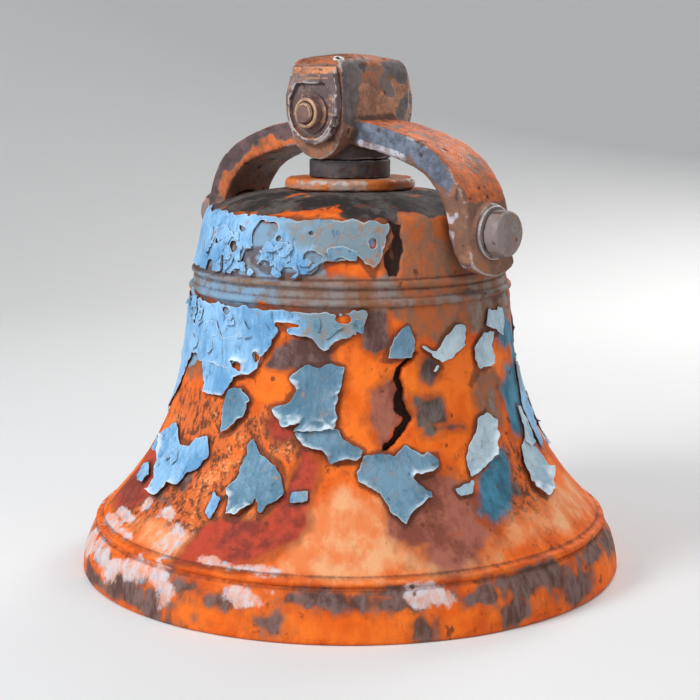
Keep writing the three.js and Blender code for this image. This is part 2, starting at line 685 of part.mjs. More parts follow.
// Split pin: a ring head with two legs spread below the clapper pin.
function splitPin() {
  const r = SPLIT_PIN_R;
  const loop = new THREE.TorusGeometry(SPLIT_RING_R, SPLIT_RING_WIRE_R, 8, 16);
  loop.rotateX(Math.PI / 2).translate(0, 0, CLAPPER_PIN_R + SPLIT_RING_R + 0.8);
  const legs = bar(r, -CLAPPER_PIN_R - SPLIT_PIN_LEG, CLAPPER_PIN_R + 1.6, 12);
  const foot = bar(r * 0.7, 0, 6, 8).rotateY(Math.PI / 2.4);
  foot.translate(0, 0, -CLAPPER_PIN_R - SPLIT_PIN_LEG + 0.8);
  return geometryOf(solid(loop).add(solid(legs)).add(solid(foot)));
}

// ---- Assembly -----------------------------------------------------------------------------------

const bell = new THREE.Group();

function place(name, geometry, material, parent = bell) {
  const mesh = new THREE.Mesh(geometry, material);
  mesh.name = name;
  parent.add(mesh);
  return mesh;
}

place("bell_shell", bellShell(), PAINTED_IRON);
place("yoke", yoke(), BOW_IRON);

const crownStack = new THREE.Group();
bell.add(crownStack);
place("crown_plate", crownPlate(), NECK_IRON, crownStack).position.z = plateZ;
place("neck_spacer", ring(NECK_R, STUD_R + GAP, neckZ, neckTop, 48), NECK_IRON, crownStack);
place("crown_stud", crownStud(), BOLT_STEEL, crownStack);
place(
  "crown_washer",
  ring(CROWN_WASHER_R, STUD_R + GAP, washerTop - CROWN_WASHER_THICKNESS, washerTop),
  BOLT_STEEL,
  crownStack,
);
place(
  "crown_nut",
  geometryOf(nut(CROWN_NUT_FLATS, STUD_R + GAP, nutTop - CROWN_NUT_THICKNESS, nutTop)),
  BOLT_STEEL,
  crownStack,
);

const head = new THREE.Group();
head.position.z = hubZ;
bell.add(head);
place("oil_cup", oilCup(), BRONZE, head);
for (const [end, turn] of [["front", 0], ["rear", Math.PI]]) {
  const side = new THREE.Group();
  side.rotation.z = turn;
  head.add(side);
  place(end + "_bearing_cap", bearingCap(), HUB_IRON, side);
  place(end + "_bush", bush(end === "front"), BRONZE, side);
  const pinSide = new THREE.Group();
  pinSide.rotation.z = Math.PI;
  side.add(pinSide);
  place(
    end + "_pin_washer",
    alongY(ring(PIN_R + WASHER_RIM, PIN_R + GAP, washerY, washerY + WASHER_THICKNESS)),
    PIN_STEEL,
    pinSide,
  );
  place(end + "_collar", collar(), PIN_STEEL, pinSide);
  place(end + "_grub_screw", grubScrew(), BOLT_STEEL, pinSide).position.y = grubY;
}
place("pivot_pin", alongY(chamferedBar(PIN_R, -pinEndY, pinEndY, 1)), PIN_STEEL, head);

for (const [name, turn] of [["right", 0], ["left", Math.PI]]) {
  const side = new THREE.Group();
  side.rotation.z = turn;
  bell.add(side);
  place(name + "_side_bolt", alongX(sideBolt()), BOLT_STEEL, side).position.z = boltZ;
  place(
    name + "_bolt_washer",
    alongX(ring(BOLT_WASHER_R, BOLT_R + GAP, bossX + GAP, bossX + GAP + BOLT_WASHER_THICKNESS)),
    BOLT_STEEL,
    side,
  ).position.z = boltZ;
  place(name + "_saddle_washer", saddle(), BOW_IRON, side);
}

const clapper = new THREE.Group();
clapper.position.z = clapperZ;
bell.add(clapper);
place("clapper_pin", clapperPin(), BOLT_STEEL, clapper);
place(
  "clapper_pin_washer",
  alongY(
    ring(
      CLAPPER_PIN_R + CLAPPER_WASHER_RIM,
      CLAPPER_PIN_R + GAP,
      forkHalf + GAP,
      forkHalf + GAP + CLAPPER_WASHER_THICKNESS,
    ),
  ),
  BOLT_STEEL,
  clapper,
);
place("split_pin", splitPin(), BOLT_STEEL, clapper).position.y = splitY;
place("clapper_rod", clapperRod(), CLAPPER_IRON, clapper);
const ball = place("clapper_ball", clapperBall(), CLAPPER_IRON, clapper);
ball.position.z = ballZ;
place(
  "ball_rivet",
  alongY(bar(BALL_RIVET_R, -BALL_R + 0.6, BALL_R - 0.6, 16)),
  BOLT_STEEL,
  clapper,
).position.z = ballZ;

export default bell;
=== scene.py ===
"""A cast-iron yard dinner bell: peeling blue paint over rust, a bolted bow, a bearing hub and a clapper."""

import math

import bmesh
import bpy
import numpy as np
from mathutils import Matrix, Vector


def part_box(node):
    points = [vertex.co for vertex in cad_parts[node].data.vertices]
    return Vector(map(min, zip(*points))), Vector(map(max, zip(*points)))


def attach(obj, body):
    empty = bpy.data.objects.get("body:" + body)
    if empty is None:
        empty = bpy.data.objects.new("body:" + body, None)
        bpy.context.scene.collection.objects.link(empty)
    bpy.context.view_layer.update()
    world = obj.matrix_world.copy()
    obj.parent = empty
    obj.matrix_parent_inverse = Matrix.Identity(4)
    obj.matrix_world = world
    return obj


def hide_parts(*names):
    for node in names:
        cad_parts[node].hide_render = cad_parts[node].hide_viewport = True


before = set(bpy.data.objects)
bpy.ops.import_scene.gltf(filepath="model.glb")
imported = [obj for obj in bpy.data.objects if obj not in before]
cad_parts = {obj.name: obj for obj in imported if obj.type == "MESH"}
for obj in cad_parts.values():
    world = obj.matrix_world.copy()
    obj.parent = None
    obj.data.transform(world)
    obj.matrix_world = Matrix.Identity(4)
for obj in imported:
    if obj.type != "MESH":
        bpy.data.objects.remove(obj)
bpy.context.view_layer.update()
MM = 0.001

# ---- Camera, backdrop and light ----
# The bell is seen from a little above, across the corner of its bow. It stands in a plain pale bowl of
# a studio floor, under a large soft lamp on the left and weaker ones on the right, behind and above.
FACING = math.radians(-48)  # the side of the bell that faces the camera, about +Z from +X
CAMERA_REACH = 1.09415
CAMERA_HEIGHT = 0.33546
CAMERA_DIP = math.radians(9.697)
CAMERA_LENS = 81.2

camera = bpy.data.objects.new("camera", bpy.data.cameras.new("camera"))
camera.data.lens = CAMERA_LENS
camera.data.sensor_width = 36
camera.location = (CAMERA_REACH * math.cos(FACING), CAMERA_REACH * math.sin(FACING), CAMERA_HEIGHT)
camera.rotation_euler = (math.pi / 2 - CAMERA_DIP, 0, FACING + math.pi / 2)
bpy.context.scene.collection.objects.link(camera)
bpy.context.scene.camera = camera
bpy.context.scene.view_settings.view_transform = "Standard"
WAIST_HEIGHT = 0.17


def lamp(name, turn, reach, height, size, power, tint):
    """A soft square lamp, placed by its angle from the camera's side and aimed at the bell's waist."""
    made = bpy.data.objects.new(name, bpy.data.lights.new(name, "AREA"))
    made.data.size = size
    made.data.energy = power
    made.data.color = tint
    made.visible_camera = False
    angle = FACING + math.radians(turn)
    made.location = (reach * math.cos(angle), reach * math.sin(angle), height)
    aim = Vector((0, 0, WAIST_HEIGHT)) - made.location
    made.rotation_euler = aim.to_track_quat("-Z", "Y").to_euler()
    bpy.context.scene.collection.objects.link(made)


lamp("key_lamp", -58, 1.5, 1.15, 0.6, 22, (0.95, 0.98, 1.0))
lamp("fill_lamp", 48, 1.9, 0.75, 1.0, 5, (1.0, 0.96, 0.92))
lamp("back_lamp", 150, 1.6, 1.0, 0.8, 14, (1.0, 0.98, 0.96))
lamp("top_lamp", 10, 0.5, 1.7, 0.9, 6, (1.0, 1.0, 1.0))
world = bpy.data.worlds.new("studio")
world.use_nodes = True
room_light = world.node_tree.nodes["Background"]
room_light.inputs["Color"].default_value = (0.80, 0.82, 0.85, 1)
room_light.inputs["Strength"].default_value = 0.34
bpy.context.scene.world = world

FLAT_R = 1.3  # the floor is flat this far out, then sweeps up into a wall
SWEEP_R = 1.6
WALL_TOP = 3.4
WALL_SIDES = 96
FLOOR_GREY = (0.8, 0.8, 0.8, 1)
sweep = np.radians(np.linspace(0, 90, 25))
bowl_line = [(0.6, 0.0), (FLAT_R, 0.0)]
bowl_line += [(FLAT_R + SWEEP_R * math.sin(a), SWEEP_R * (1 - math.cos(a))) for a in sweep[1:]]
bowl_line += [(FLAT_R + SWEEP_R, WALL_TOP)]
floor_points, floor_faces = [(0, 0, 0)], []
for radius, height in bowl_line:
    for k in range(WALL_SIDES):
        a = 2 * math.pi * k / WALL_SIDES
        floor_points.append((radius * math.cos(a), radius * math.sin(a), height))
for k in range(WALL_SIDES):
    floor_faces.append((0, 1 + k, 1 + (k + 1) % WALL_SIDES))
    for row in range(len(bowl_line) - 1):
        low, high = 1 + row * WALL_SIDES, 1 + (row + 1) * WALL_SIDES
        floor_faces.append((low + k, high + k, high + (k + 1) % WALL_SIDES, low + (k + 1) % WALL_SIDES))
floor_mesh = bpy.data.meshes.new("floor")
floor_mesh.from_pydata(floor_points, [], floor_faces)
floor_mesh.polygons.foreach_set("use_smooth", np.ones(len(floor_mesh.polygons), bool))
floor = bpy.data.objects.new("floor", floor_mesh)
bpy.context.scene.collection.objects.link(floor)
floor_paint = bpy.data.materials.new("floor_paint")
floor_paint.use_nodes = True
floor_shader = floor_paint.node_tree.nodes["Principled BSDF"]
floor_shader.inputs["Base Color"].default_value = FLOOR_GREY
floor_shader.inputs["Roughness"].default_value = 0.95
floor.data.materials.append(floor_paint)

# ---- Bell casting ----
# One grey-iron casting: a thick rounded lip, a sweeping flare, two beads under the shoulder and a
# shallow crown. Most of its paint is gone, so it is scaly orange rust with darker burnt patches.
MOUTH_R = 190
LIP_H = 33
LIP_DRAW_IN = 11
WAIST_TOP_R = 111
WAIST_TOP_Z = 192
SHOULDER_R = 100
SHOULDER_Z = 246
CROWN_Z = 262
STUD_HOLE_R = 9.4
CROWN_WALL = 9
CORNER_R = SHOULDER_R + 0.6  # where the shoulder's wall starts to round over into the crown
CORNER_Z = SHOULDER_Z - 3
BEAD_SIZE = 2.4
LOW_BEAD_Z = WAIST_TOP_Z + 4.5
HIGH_BEAD_Z = WAIST_TOP_Z + 16
CROWN_STEPS = 6  # points across the flat crown, which the wall's line leaves out


def lattice(points, lump, seed=0):
    """Smooth noise from -1 to 1 at points in millimetres, with lumps about that many millimetres across."""
    place = points / lump + 31.7 * (seed + 1)
    cell = np.floor(place).astype(np.int64)
    part = place - cell
    part = part * part * (3 - 2 * part)
    total = np.zeros(len(points))
    for corner in range(8):
        step = np.array([corner & 1, corner >> 1 & 1, corner >> 2])
        key = cell + step
        mixed = (key[:, 0] * 73856093) ^ (key[:, 1] * 19349663) ^ (key[:, 2] * 83492791)
        mixed = ((mixed ^ (mixed >> 13)) * 1274126177) & 0x7FFFFFFF
        mixed = mixed ^ (mixed >> 16)
        value = (mixed & 0xFFFF) / 32767.5 - 1
        total += value * np.prod(np.where(step, part, 1 - part), axis=1)
    return total


def rough(points, lump, seed=0, octaves=3):
    """Noise with finer noise on top of it, each octave half as large and half as strong."""
    return sum(lattice(points, lump / 2**k, seed + 5 * k) / 2**k for k in range(octaves))


def soft_step(value, low, high):
    """0 below low, 1 above high, and a smooth rise between."""
    t = np.clip((value - low) / (high - low), 0, 1)
    return t * t * (3 - 2 * t)


def bezier(points, steps):
    """Points along a quadratic or cubic curve, ends included."""
    t = np.linspace(0, 1, steps + 1)[:, None]
    line = [np.array(p, float) for p in points]
    while len(line) > 1:
        line = [a * (1 - t) + b * t for a, b in zip(line, line[1:])]
    return line[0]


def bead(radius, height, size, steps=10):
    """A half-round bead standing out from the wall, as radius and height."""
    turn = np.linspace(-math.pi / 2, math.pi / 2, steps + 1)
    return np.stack([radius + size * np.cos(turn), height + size * np.sin(turn)], axis=1)


def shoulder_radius(z):
    """The outer radius of the straight wall between the waist and the shoulder's corner."""
    return WAIST_TOP_R + (z - WAIST_TOP_Z) * (CORNER_R - WAIST_TOP_R) / (CORNER_Z - WAIST_TOP_Z)


def straight_wall(low, high, steps):
    """Points up the straight wall from one height to another."""
    return np.linspace((shoulder_radius(low), low), (shoulder_radius(high), high), steps)


def bell_outside():
    """The bell's outer line from the rim's outer edge to the stud hole, as radius and height."""
    rim_r, rim_top = MOUTH_R - 0.8, 2.6  # where the rim's rounded edge ends
    lip_top = MOUTH_R - LIP_DRAW_IN
    corner_end = (SHOULDER_R - 9, SHOULDER_Z + 5.5)
    past_bead = 3  # from a bead's centre to where the plain wall goes on
    parts = [
        bezier([(MOUTH_R - 3.2, 0.0), (MOUTH_R - 0.9, 0.2), (rim_r, rim_top)], 4),
        bezier([(rim_r, rim_top), (MOUTH_R - 1.6, LIP_H * 0.62), (lip_top, LIP_H - 0.6)], 20)[1:],
        bead(lip_top - 1.9, LIP_H + 2.0, BEAD_SIZE)[1:],
        bezier(
            [
                (MOUTH_R - 14.2, LIP_H + 4.6),
                (MOUTH_R - 63.5, LIP_H + 53.5),
                (WAIST_TOP_R + 5.5, WAIST_TOP_Z - 67),
                (WAIST_TOP_R, WAIST_TOP_Z),
            ],
            118,
        ),
        bead(shoulder_radius(LOW_BEAD_Z) - 0.2, LOW_BEAD_Z, BEAD_SIZE),
        straight_wall(LOW_BEAD_Z + past_bead, HIGH_BEAD_Z - past_bead, 5),
        bead(shoulder_radius(HIGH_BEAD_Z) - 0.2, HIGH_BEAD_Z, BEAD_SIZE),
        straight_wall(HIGH_BEAD_Z + past_bead, CORNER_Z, 24),
        bezier([(CORNER_R, CORNER_Z), (SHOULDER_R - 1, SHOULDER_Z + 3.5), corner_end], 9)[1:],
        bezier([corner_end, (74, CROWN_Z - 2), (48, CROWN_Z)], 24)[1:],
        np.linspace((44, CROWN_Z), (STUD_HOLE_R, CROWN_Z), CROWN_STEPS),
    ]
    return np.concatenate(parts)


def bell_inside():
    """The bell's inner line from the stud hole down to the rim, as radius and height."""
    crown_under = CROWN_Z - CROWN_WALL
    waist_top = (103, WAIST_TOP_Z)
    lip_inside = (167, 31)
    rim_inside = (175.5, 1.0)
    return np.concatenate(
        [
            np.linspace((STUD_HOLE_R, CROWN_Z - 3), (STUD_HOLE_R, crown_under), 3),
            bezier([(48, crown_under), (74, crown_under - 1), (90, SHOULDER_Z - 4)], 9),
            bezier([(92, SHOULDER_Z - 8), waist_top], 8),
            bezier([waist_top, (106, 125), (122, 82), lip_inside], 34)[1:],
            bezier([lip_inside, (171, 16), rim_inside], 5)[1:],
            bezier([(176, 0.2), (180, 0.0), (MOUTH_R - 4.4, 0.0)], 3),
        ]
    )


def around(turn, height, outline):
    """Places on the bell's outer face at an angle from the camera's side in degrees and a height in mm."""
    radius = np.interp(height, outline[:, 1], outline[:, 0])
    angle = FACING + np.radians(turn)
    return np.stack([radius * np.cos(angle), radius * np.sin(angle), height], axis=1)


# What shows where on the bare casting. A spot is an angle from the camera's side, a height and two
# half sizes. An outline is a list of angles and heights. Degrees and mm.
ZONES = {
    "crown_black": (
        [(150, 253, 30, 2)],
        [
            [
                (-180, 249), (-60, 249), (-35, 248.5), (-28, 254), (-6, 255), (2, 248), (18, 247),
                (20, 252), (29, 252), (31, 247), (180, 249), (180, 264), (-180, 264),
            ],
        ],
    ),
    "brown": (
        [
            (110, 228, 20, 14), (150, 222, 14, 10), (205, 230, 24, 8), (64, 202, 20, 6),
            (250, 180, 12, 9),
        ],
        [
            [
                (12, 212), (11, 250), (60, 250), (94, 244), (96, 196), (48, 178), (30, 168), (24, 176),
                (14, 188),
            ],
            [(41, 110), (42, 128), (44, 146), (55, 146), (58, 128), (54, 108)],
            [(-74, 140), (-70, 149), (-62, 158), (-54, 154), (-57, 143), (-66, 136)],
        ],
    ),
    "grey": (
        [
            (26, 154, 3, 7), (66, 186, 16, 9), (60, 200, 14, 4), (34, 256, 14, 3), (120, 130, 8, 14),
            (205, 128, 9, 16), (168, 140, 7, 12), (238, 120, 6, 14), (-17, 255.5, 6, 1.2),
        ],
        [
            [(21, 119), (21, 136), (29, 136), (30.5, 128), (30, 120)],
            [(22, 114), (23, 118), (35, 118.5), (36, 115.5)],
        ],
    ),
    "ashen": (
        [(-30, 208, 20, 2.5), (30, 197, 20, 3), (64, 203, 16, 8), (150, 196, 40, 3), (250, 203, 16, 8)],
        [
            [(-24, 192), (-26, 213), (14, 213), (17, 200), (6, 192)],
            [(44, 175), (43, 194), (78, 194), (78, 178), (58, 172)],
            [(45, 118), (46, 134), (53, 136), (55, 128), (52, 119)],
        ],
    ),
    "maroon": (
        [
            (-64, 87, 10, 4), (190, 66, 18, 16), (112, 118, 12, 18), (150, 92, 9, 16),
            (232, 146, 12, 16), (262, 86, 9, 18), (88, 150, 7, 14), (-21, 118, 3, 7),
        ],
        [
            [(-16, 79), (-14, 108), (-8, 101), (-10, 84)],
            [
                (-38, 38), (-36, 56), (-28, 64), (-20, 68), (-18, 80), (-11, 77), (-10, 62), (-16, 50),
                (-23, 41),
            ],
            [(-84, 46), (-84, 80), (-74, 90), (-64, 84), (-60, 66), (-66, 50)],
        ],
    ),
    "mauve": (
        [(176, 128, 12, 10), (258, 128, 9, 12)],
        [
            [(-28, 156), (-22, 172), (-14, 176), (-7, 168), (-6, 156)],
            [(4, 194), (3, 170), (8, 164), (12, 172), (13, 194)],
        ],
    ),
    "dusty": (
        [(24, 50, 8, 12), (218, 96, 8, 10)],
        [
            [(9, 104), (5, 124), (8, 142), (14, 151), (16, 138), (15, 127), (11, 112)],
            [(9, 60), (12, 82), (20, 90), (32, 84), (34, 66), (28, 54), (16, 52)],
        ],
    ),
    "peach": (
        [
            (68, 54, 20, 10), (66, 54, 10, 6), (130, 58, 20, 12), (206, 84, 15, 12), (243, 50, 15, 9),
            (170, 44, 12, 6), (46, 52, 8, 7), (-48, 46, 9, 6),
        ],
        [
            [(-15, 39), (-12, 54), (-8, 74), (-2, 84), (9, 78), (12, 60), (23, 50), (33, 42), (30, 38)],
        ],
    ),
    "teal": (
        [
            (68, 168, 10, 8), (74, 96, 6, 9), (80, 140, 8, 26), (100, 170, 14, 14), (137, 158, 12, 10),
            (226, 66, 9, 9),
        ],
        [
            [(57, 104), (58, 134), (64, 146), (76, 147), (78, 104)],
            [(35, 84), (40, 92), (50, 99), (50, 84), (44, 68), (36, 58), (33, 66)],
        ],
    ),
    "faded_blue": (
        [
            (-64, 23, 5, 4), (-50, 22, 4, 4), (120, 202, 20, 6), (165, 202, 22, 6), (235, 202, 24, 7),
            (71, 118, 3, 16),
        ],
        [
            [
                (-160, 192), (-160, 246), (-60, 248), (-20, 247), (-8, 244), (10, 244), (9, 232),
                (2, 230), (-6, 229), (-10, 220), (-8, 206), (3, 194),
            ],
            [(-160, 120), (-160, 192), (-30, 192), (-34, 160), (-60, 150), (-74, 140), (-80, 124)],
        ],
    ),
    # Two of the scorched spots, at (-50, 78) and (-57, 66), sit under the left flake's lower edge: they are
    # partly scorch and partly painted shadow of the flake.
    "scorched": (
        [
            (-34, 25, 4, 6), (-40, 14, 3, 14), (-9, 27, 11, 5), (-14, 14, 3.5, 8), (6, 25, 8, 6.5),
            (25, 24, 6, 7), (33, 9, 2.5, 7), (14, 7, 2.6, 8), (40, 27, 11, 6), (50, 16, 7, 11),
            (62, 27, 13, 5.5), (76, 23, 9, 9), (-24, 22, 5, 4), (26, 127, 2.6, 6), (-60, 7, 16, 5),
            (-52, 12, 6, 8), (-50, 78, 3, 5), (-57, 66, 4, 3), (100, 24, 16, 7), (130, 15, 9, 11),
            (160, 26, 14, 6), (195, 12, 10, 10), (222, 26, 13, 6), (248, 9, 9, 8), (175, 150, 6, 9),
            (48, 73, 2, 4), (270, 22, 9, 9), (26, 154, 2.6, 6), (9, 30, 8, 3),
        ],
        [],
    ),
    "chalk": (
        [
            (-70, 40.5, 6, 2.6), (-60, 40.5, 5, 2.6), (-42, 48, 3.2, 8), (-49, 59, 2.6, 3),
            (-21, 40, 5, 2.2), (16, 27, 3.4, 5), (-20, 25, 3, 4.5), (-58, 22, 14, 8), (-74, 24, 8, 8),
            (-41, 24, 3, 9), (-30, 41, 6, 2), (140, 40, 8, 3), (180, 22, 9, 6), (215, 41, 7, 3),
            (260, 30, 10, 7), (-68, 48, 5, 2), (-60, 60, 3, 4),
        ],
        [],
    ),
    "scaly": (
        [
            (-58, 116, 16, 16), (-44, 84, 14, 26), (-30, 114, 8, 14), (-36, 62, 12, 10),
            (-22, 112, 9, 14), (-60, 56, 16, 9), (48, 78, 10, 26), (140, 110, 22, 30),
            (210, 120, 26, 26), (250, 130, 18, 24), (172, 90, 16, 18), (-52, 60, 16, 10),
            (-28, 88, 6, 20),
        ],
        [],
    ),
    "plain_orange": (
        [
            (24, 247, 4, 2.4), (62, 150, 6, 9), (4, 140, 5, 26), (64, 12, 7, 9), (-28, 12, 7, 10),
            (-2, 10, 8, 9), (21, 12, 4, 10),
        ],
        [
            [(-35, 140), (-31, 155), (-20, 155), (-20, 148), (-25, 132), (-31, 131)],
            [
                (17, 164), (30, 146), (42, 146), (41, 126), (36, 104), (24, 102), (12, 104), (20, 124),
                (17, 142),
            ],
        ],
    ),
}


def inside_by(turn, height, corners, radius):
    """Distance in mm inside a closed outline given in degrees and mm, negative outside it."""
    per_degree = np.radians(1) * radius
    nearest = np.full(turn.shape, 1e9)
    inside = np.zeros(turn.shape, bool)
    for (ax, az), (bx, bz) in zip(corners, corners[1:] + corners[:1]):
        ex, ez = (bx - ax) * per_degree, bz - az
        px, pz = (turn - ax) * per_degree, height - az
        share = np.clip((px * ex + pz * ez) / (ex * ex + ez * ez), 0, 1)
        nearest = np.minimum(nearest, np.hypot(px - share * ex, pz - share * ez))
        crosses = (az > height) != (bz > height)
        with np.errstate(divide="ignore", invalid="ignore"):
            where = ax + (height - az) / (bz - az) * (bx - ax)
        inside ^= crosses & (turn < where)
    return np.where(inside, nearest, -nearest)


def zone(points, turn, spots, outlines, seed, ragged=1.0):
    """1 in the middle of any spot or outline, 0.5 on its ragged edge, and 0 well outside it."""
    height = points[:, 2]
    wrapped = (turn + 180) % 360 - 180
    best = np.full(len(points), 9.0)
    for middle, level, half_turn, half_height in spots:
        off = (turn - middle + 180) % 360 - 180
        best = np.minimum(best, np.sqrt((off / half_turn) ** 2 + ((height - level) / half_height) ** 2))
    best = 0.5 - 0.5 * (best - 1)
    radius = np.hypot(points[:, 0], points[:, 1])
    for corners in outlines:
        best = np.maximum(best, 0.5 + inside_by(wrapped, height, corners, radius) / 16)
    torn = 0.2 * rough(points, 17, seed) + 0.1 * lattice(points, 5, seed + 3)
    return np.clip(best + ragged * torn, 0, 1)


# The crack runs down the front from under the shoulder, wide in its middle: angle, height, half width.
CRACK = [
    (21.5, 165, 0.6), (19, 160, 1.2), (16, 156, 1.1), (15, 149, 0.8), (16.2, 143, 1.2),
    (15.6, 136, 1.5), (15.8, 130, 2.2), (18, 125, 1.8), (15.5, 119, 1.6), (14, 114, 1.1),
    (11.5, 110, 1.2), (10, 106, 0.5),
]
CRACK_DEPTH = 6.5
# A piece is broken out of the shoulder's skin above it: angles and heights round its edge.
HOLE = [
    (11, 219), (13, 212), (17, 211), (19, 221), (20.5, 236), (20, 247), (15.5, 247.5), (14.5, 236),
    (12.5, 228),
]
HOLE_DEPTH = 2.6
OFF_FLOOR = 0.02
UNDER_PLATE_R = 50  # the crown is smooth this far out, where the flange lies on it


def crack_depth(points, turn):
    """0 away from the crack and 1 on its line."""
    height = points[:, 2]
    line = np.array(CRACK)[::-1]
    jag = 0.5 * lattice(points, 4, 71) + 0.25 * lattice(points, 1.6, 72)
    middle = np.interp(height, line[:, 1], line[:, 0]) + jag
    half = np.interp(height, line[:, 1], line[:, 2], left=-1, right=-1)
    off = np.abs((turn - middle + 180) % 360 - 180)
    return np.where(half > 0, soft_step(-(off - half), -0.45, 0.15), 0)


def casting_swell(points):
    """The casting's own unevenness in mm, the same under the paint and the rust."""
    return 0.45 * lattice(points, 70, 11) + 0.3 * lattice(points, 24, 12) - 0.35


def build_mesh(name, points, faces):
    """A smooth-shaded mesh object from points in mm and its faces."""
    mesh = bpy.data.meshes.new(name)
    mesh.from_pydata((points * MM).tolist(), [], faces)
    mesh.polygons.foreach_set("use_smooth", np.ones(len(mesh.polygons), bool))
    mesh.validate()
    made = bpy.data.objects.new(name, mesh)
    bpy.context.scene.collection.objects.link(made)
    return made


def record_mask(made, name, values):
    """Keeps one number for each vertex, for the material to read."""
    layer = made.data.attributes.new(name, "FLOAT", "POINT")
    layer.data.foreach_set("value", np.asarray(values, np.float32))


def bell_columns():
    """Angles of the casting's columns in degrees, closest together around the crack."""
    near = np.arange(-12, 36, 0.4)
    front = np.concatenate([np.arange(-90, -12, 0.75), near, np.arange(36, 90, 0.75)])
    return np.concatenate([front, np.arange(90, 270, 1.25)])


outline = bell_outside()
wall_line = outline[:-CROWN_STEPS]
loop = np.concatenate([outline, bell_inside()])
turns = bell_columns()
angle = FACING + np.radians(turns)
ahead = np.roll(loop, -1, axis=0) - np.roll(loop, 1, axis=0)
ahead /= np.linalg.norm(ahead, axis=1)[:, None]
grid_r = np.repeat(loop[:, 0], len(turns))
grid_z = np.repeat(loop[:, 1], len(turns))
grid_turn = np.tile(turns, len(loop))
grid_angle = np.tile(angle, len(loop))
out_r = np.repeat(ahead[:, 1], len(turns))
out_z = np.repeat(-ahead[:, 0], len(turns))
shell_points = np.stack([grid_r * np.cos(grid_angle), grid_r * np.sin(grid_angle), grid_z], axis=1)
shell_out = np.stack([out_r * np.cos(grid_angle), out_r * np.sin(grid_angle), out_z], axis=1)
is_outer = np.repeat(np.arange(len(loop)) < len(outline) - CROWN_STEPS + 1, len(turns))
masks = {}
for seed, (key, (spots, outlines)) in enumerate(ZONES.items()):
    ragged = 2.1 if key in ("scorched", "chalk") else 1.0
    masks[key] = np.where(is_outer, zone(shell_points, grid_turn, spots, outlines, 21 + seed, ragged), 0)
crack = np.where(is_outer, crack_depth(shell_points, grid_turn), 0)
hole = soft_step(zone(shell_points, grid_turn, [], [HOLE], 41), 0.46, 0.6)
masks["crack"] = np.where(is_outer, np.maximum(crack, hole), 0)
scale = 1 - 0.75 * np.maximum(masks["peach"], masks["faded_blue"])  # these patches are smoother
pits = np.clip(rough(shell_points, 6, 41) - 0.72, 0, 1) * 2.4
pits += np.clip(lattice(shell_points, 2.6, 44) - 0.55, 0, 1)
pits *= scale
swell = casting_swell(shell_points)
fine = 0.16 * lattice(shell_points, 5, 42) + 0.1 * lattice(shell_points, 2.4, 43) - 0.5 * pits
edge_loss = 0.45 * soft_step(masks["scorched"], 0.4, 0.6) + 0.35 * soft_step(masks["maroon"], 0.4, 0.6)
near_rim = 1 - 0.75 * soft_step(-grid_z, -4, 0)  # the rim that the bell stands on is worn smooth
shift = (swell + fine * scale - edge_loss) * near_rim * np.where(is_outer, 1, 0.8)
shift -= CRACK_DEPTH * crack + HOLE_DEPTH * masks["crack"] * (1 - crack)
under_plate = grid_r < UNDER_PLATE_R
shift = np.where(under_plate, np.minimum(shift, 0) * 0.3, shift)
shell_points = shell_points + shell_out * shift[:, None]
shell_points[:, 2] = np.clip(shell_points[:, 2], OFF_FLOOR, CROWN_Z)
across = len(turns)
faces = []
for row in range(len(loop)):
    low, high = row * across, (row + 1) % len(loop) * across
    for k in range(across):
        after = (k + 1) % across
        faces.append((low + k, low + after, high + after, high + k))
bell_shell = build_mesh("bell_casting", shell_points, faces)
for key, values in masks.items():
    record_mask(bell_shell, key, values)
record_mask(bell_shell, "inside", np.where(is_outer, 0, 1))
record_mask(bell_shell, "pitted", np.clip(pits, 0, 1))


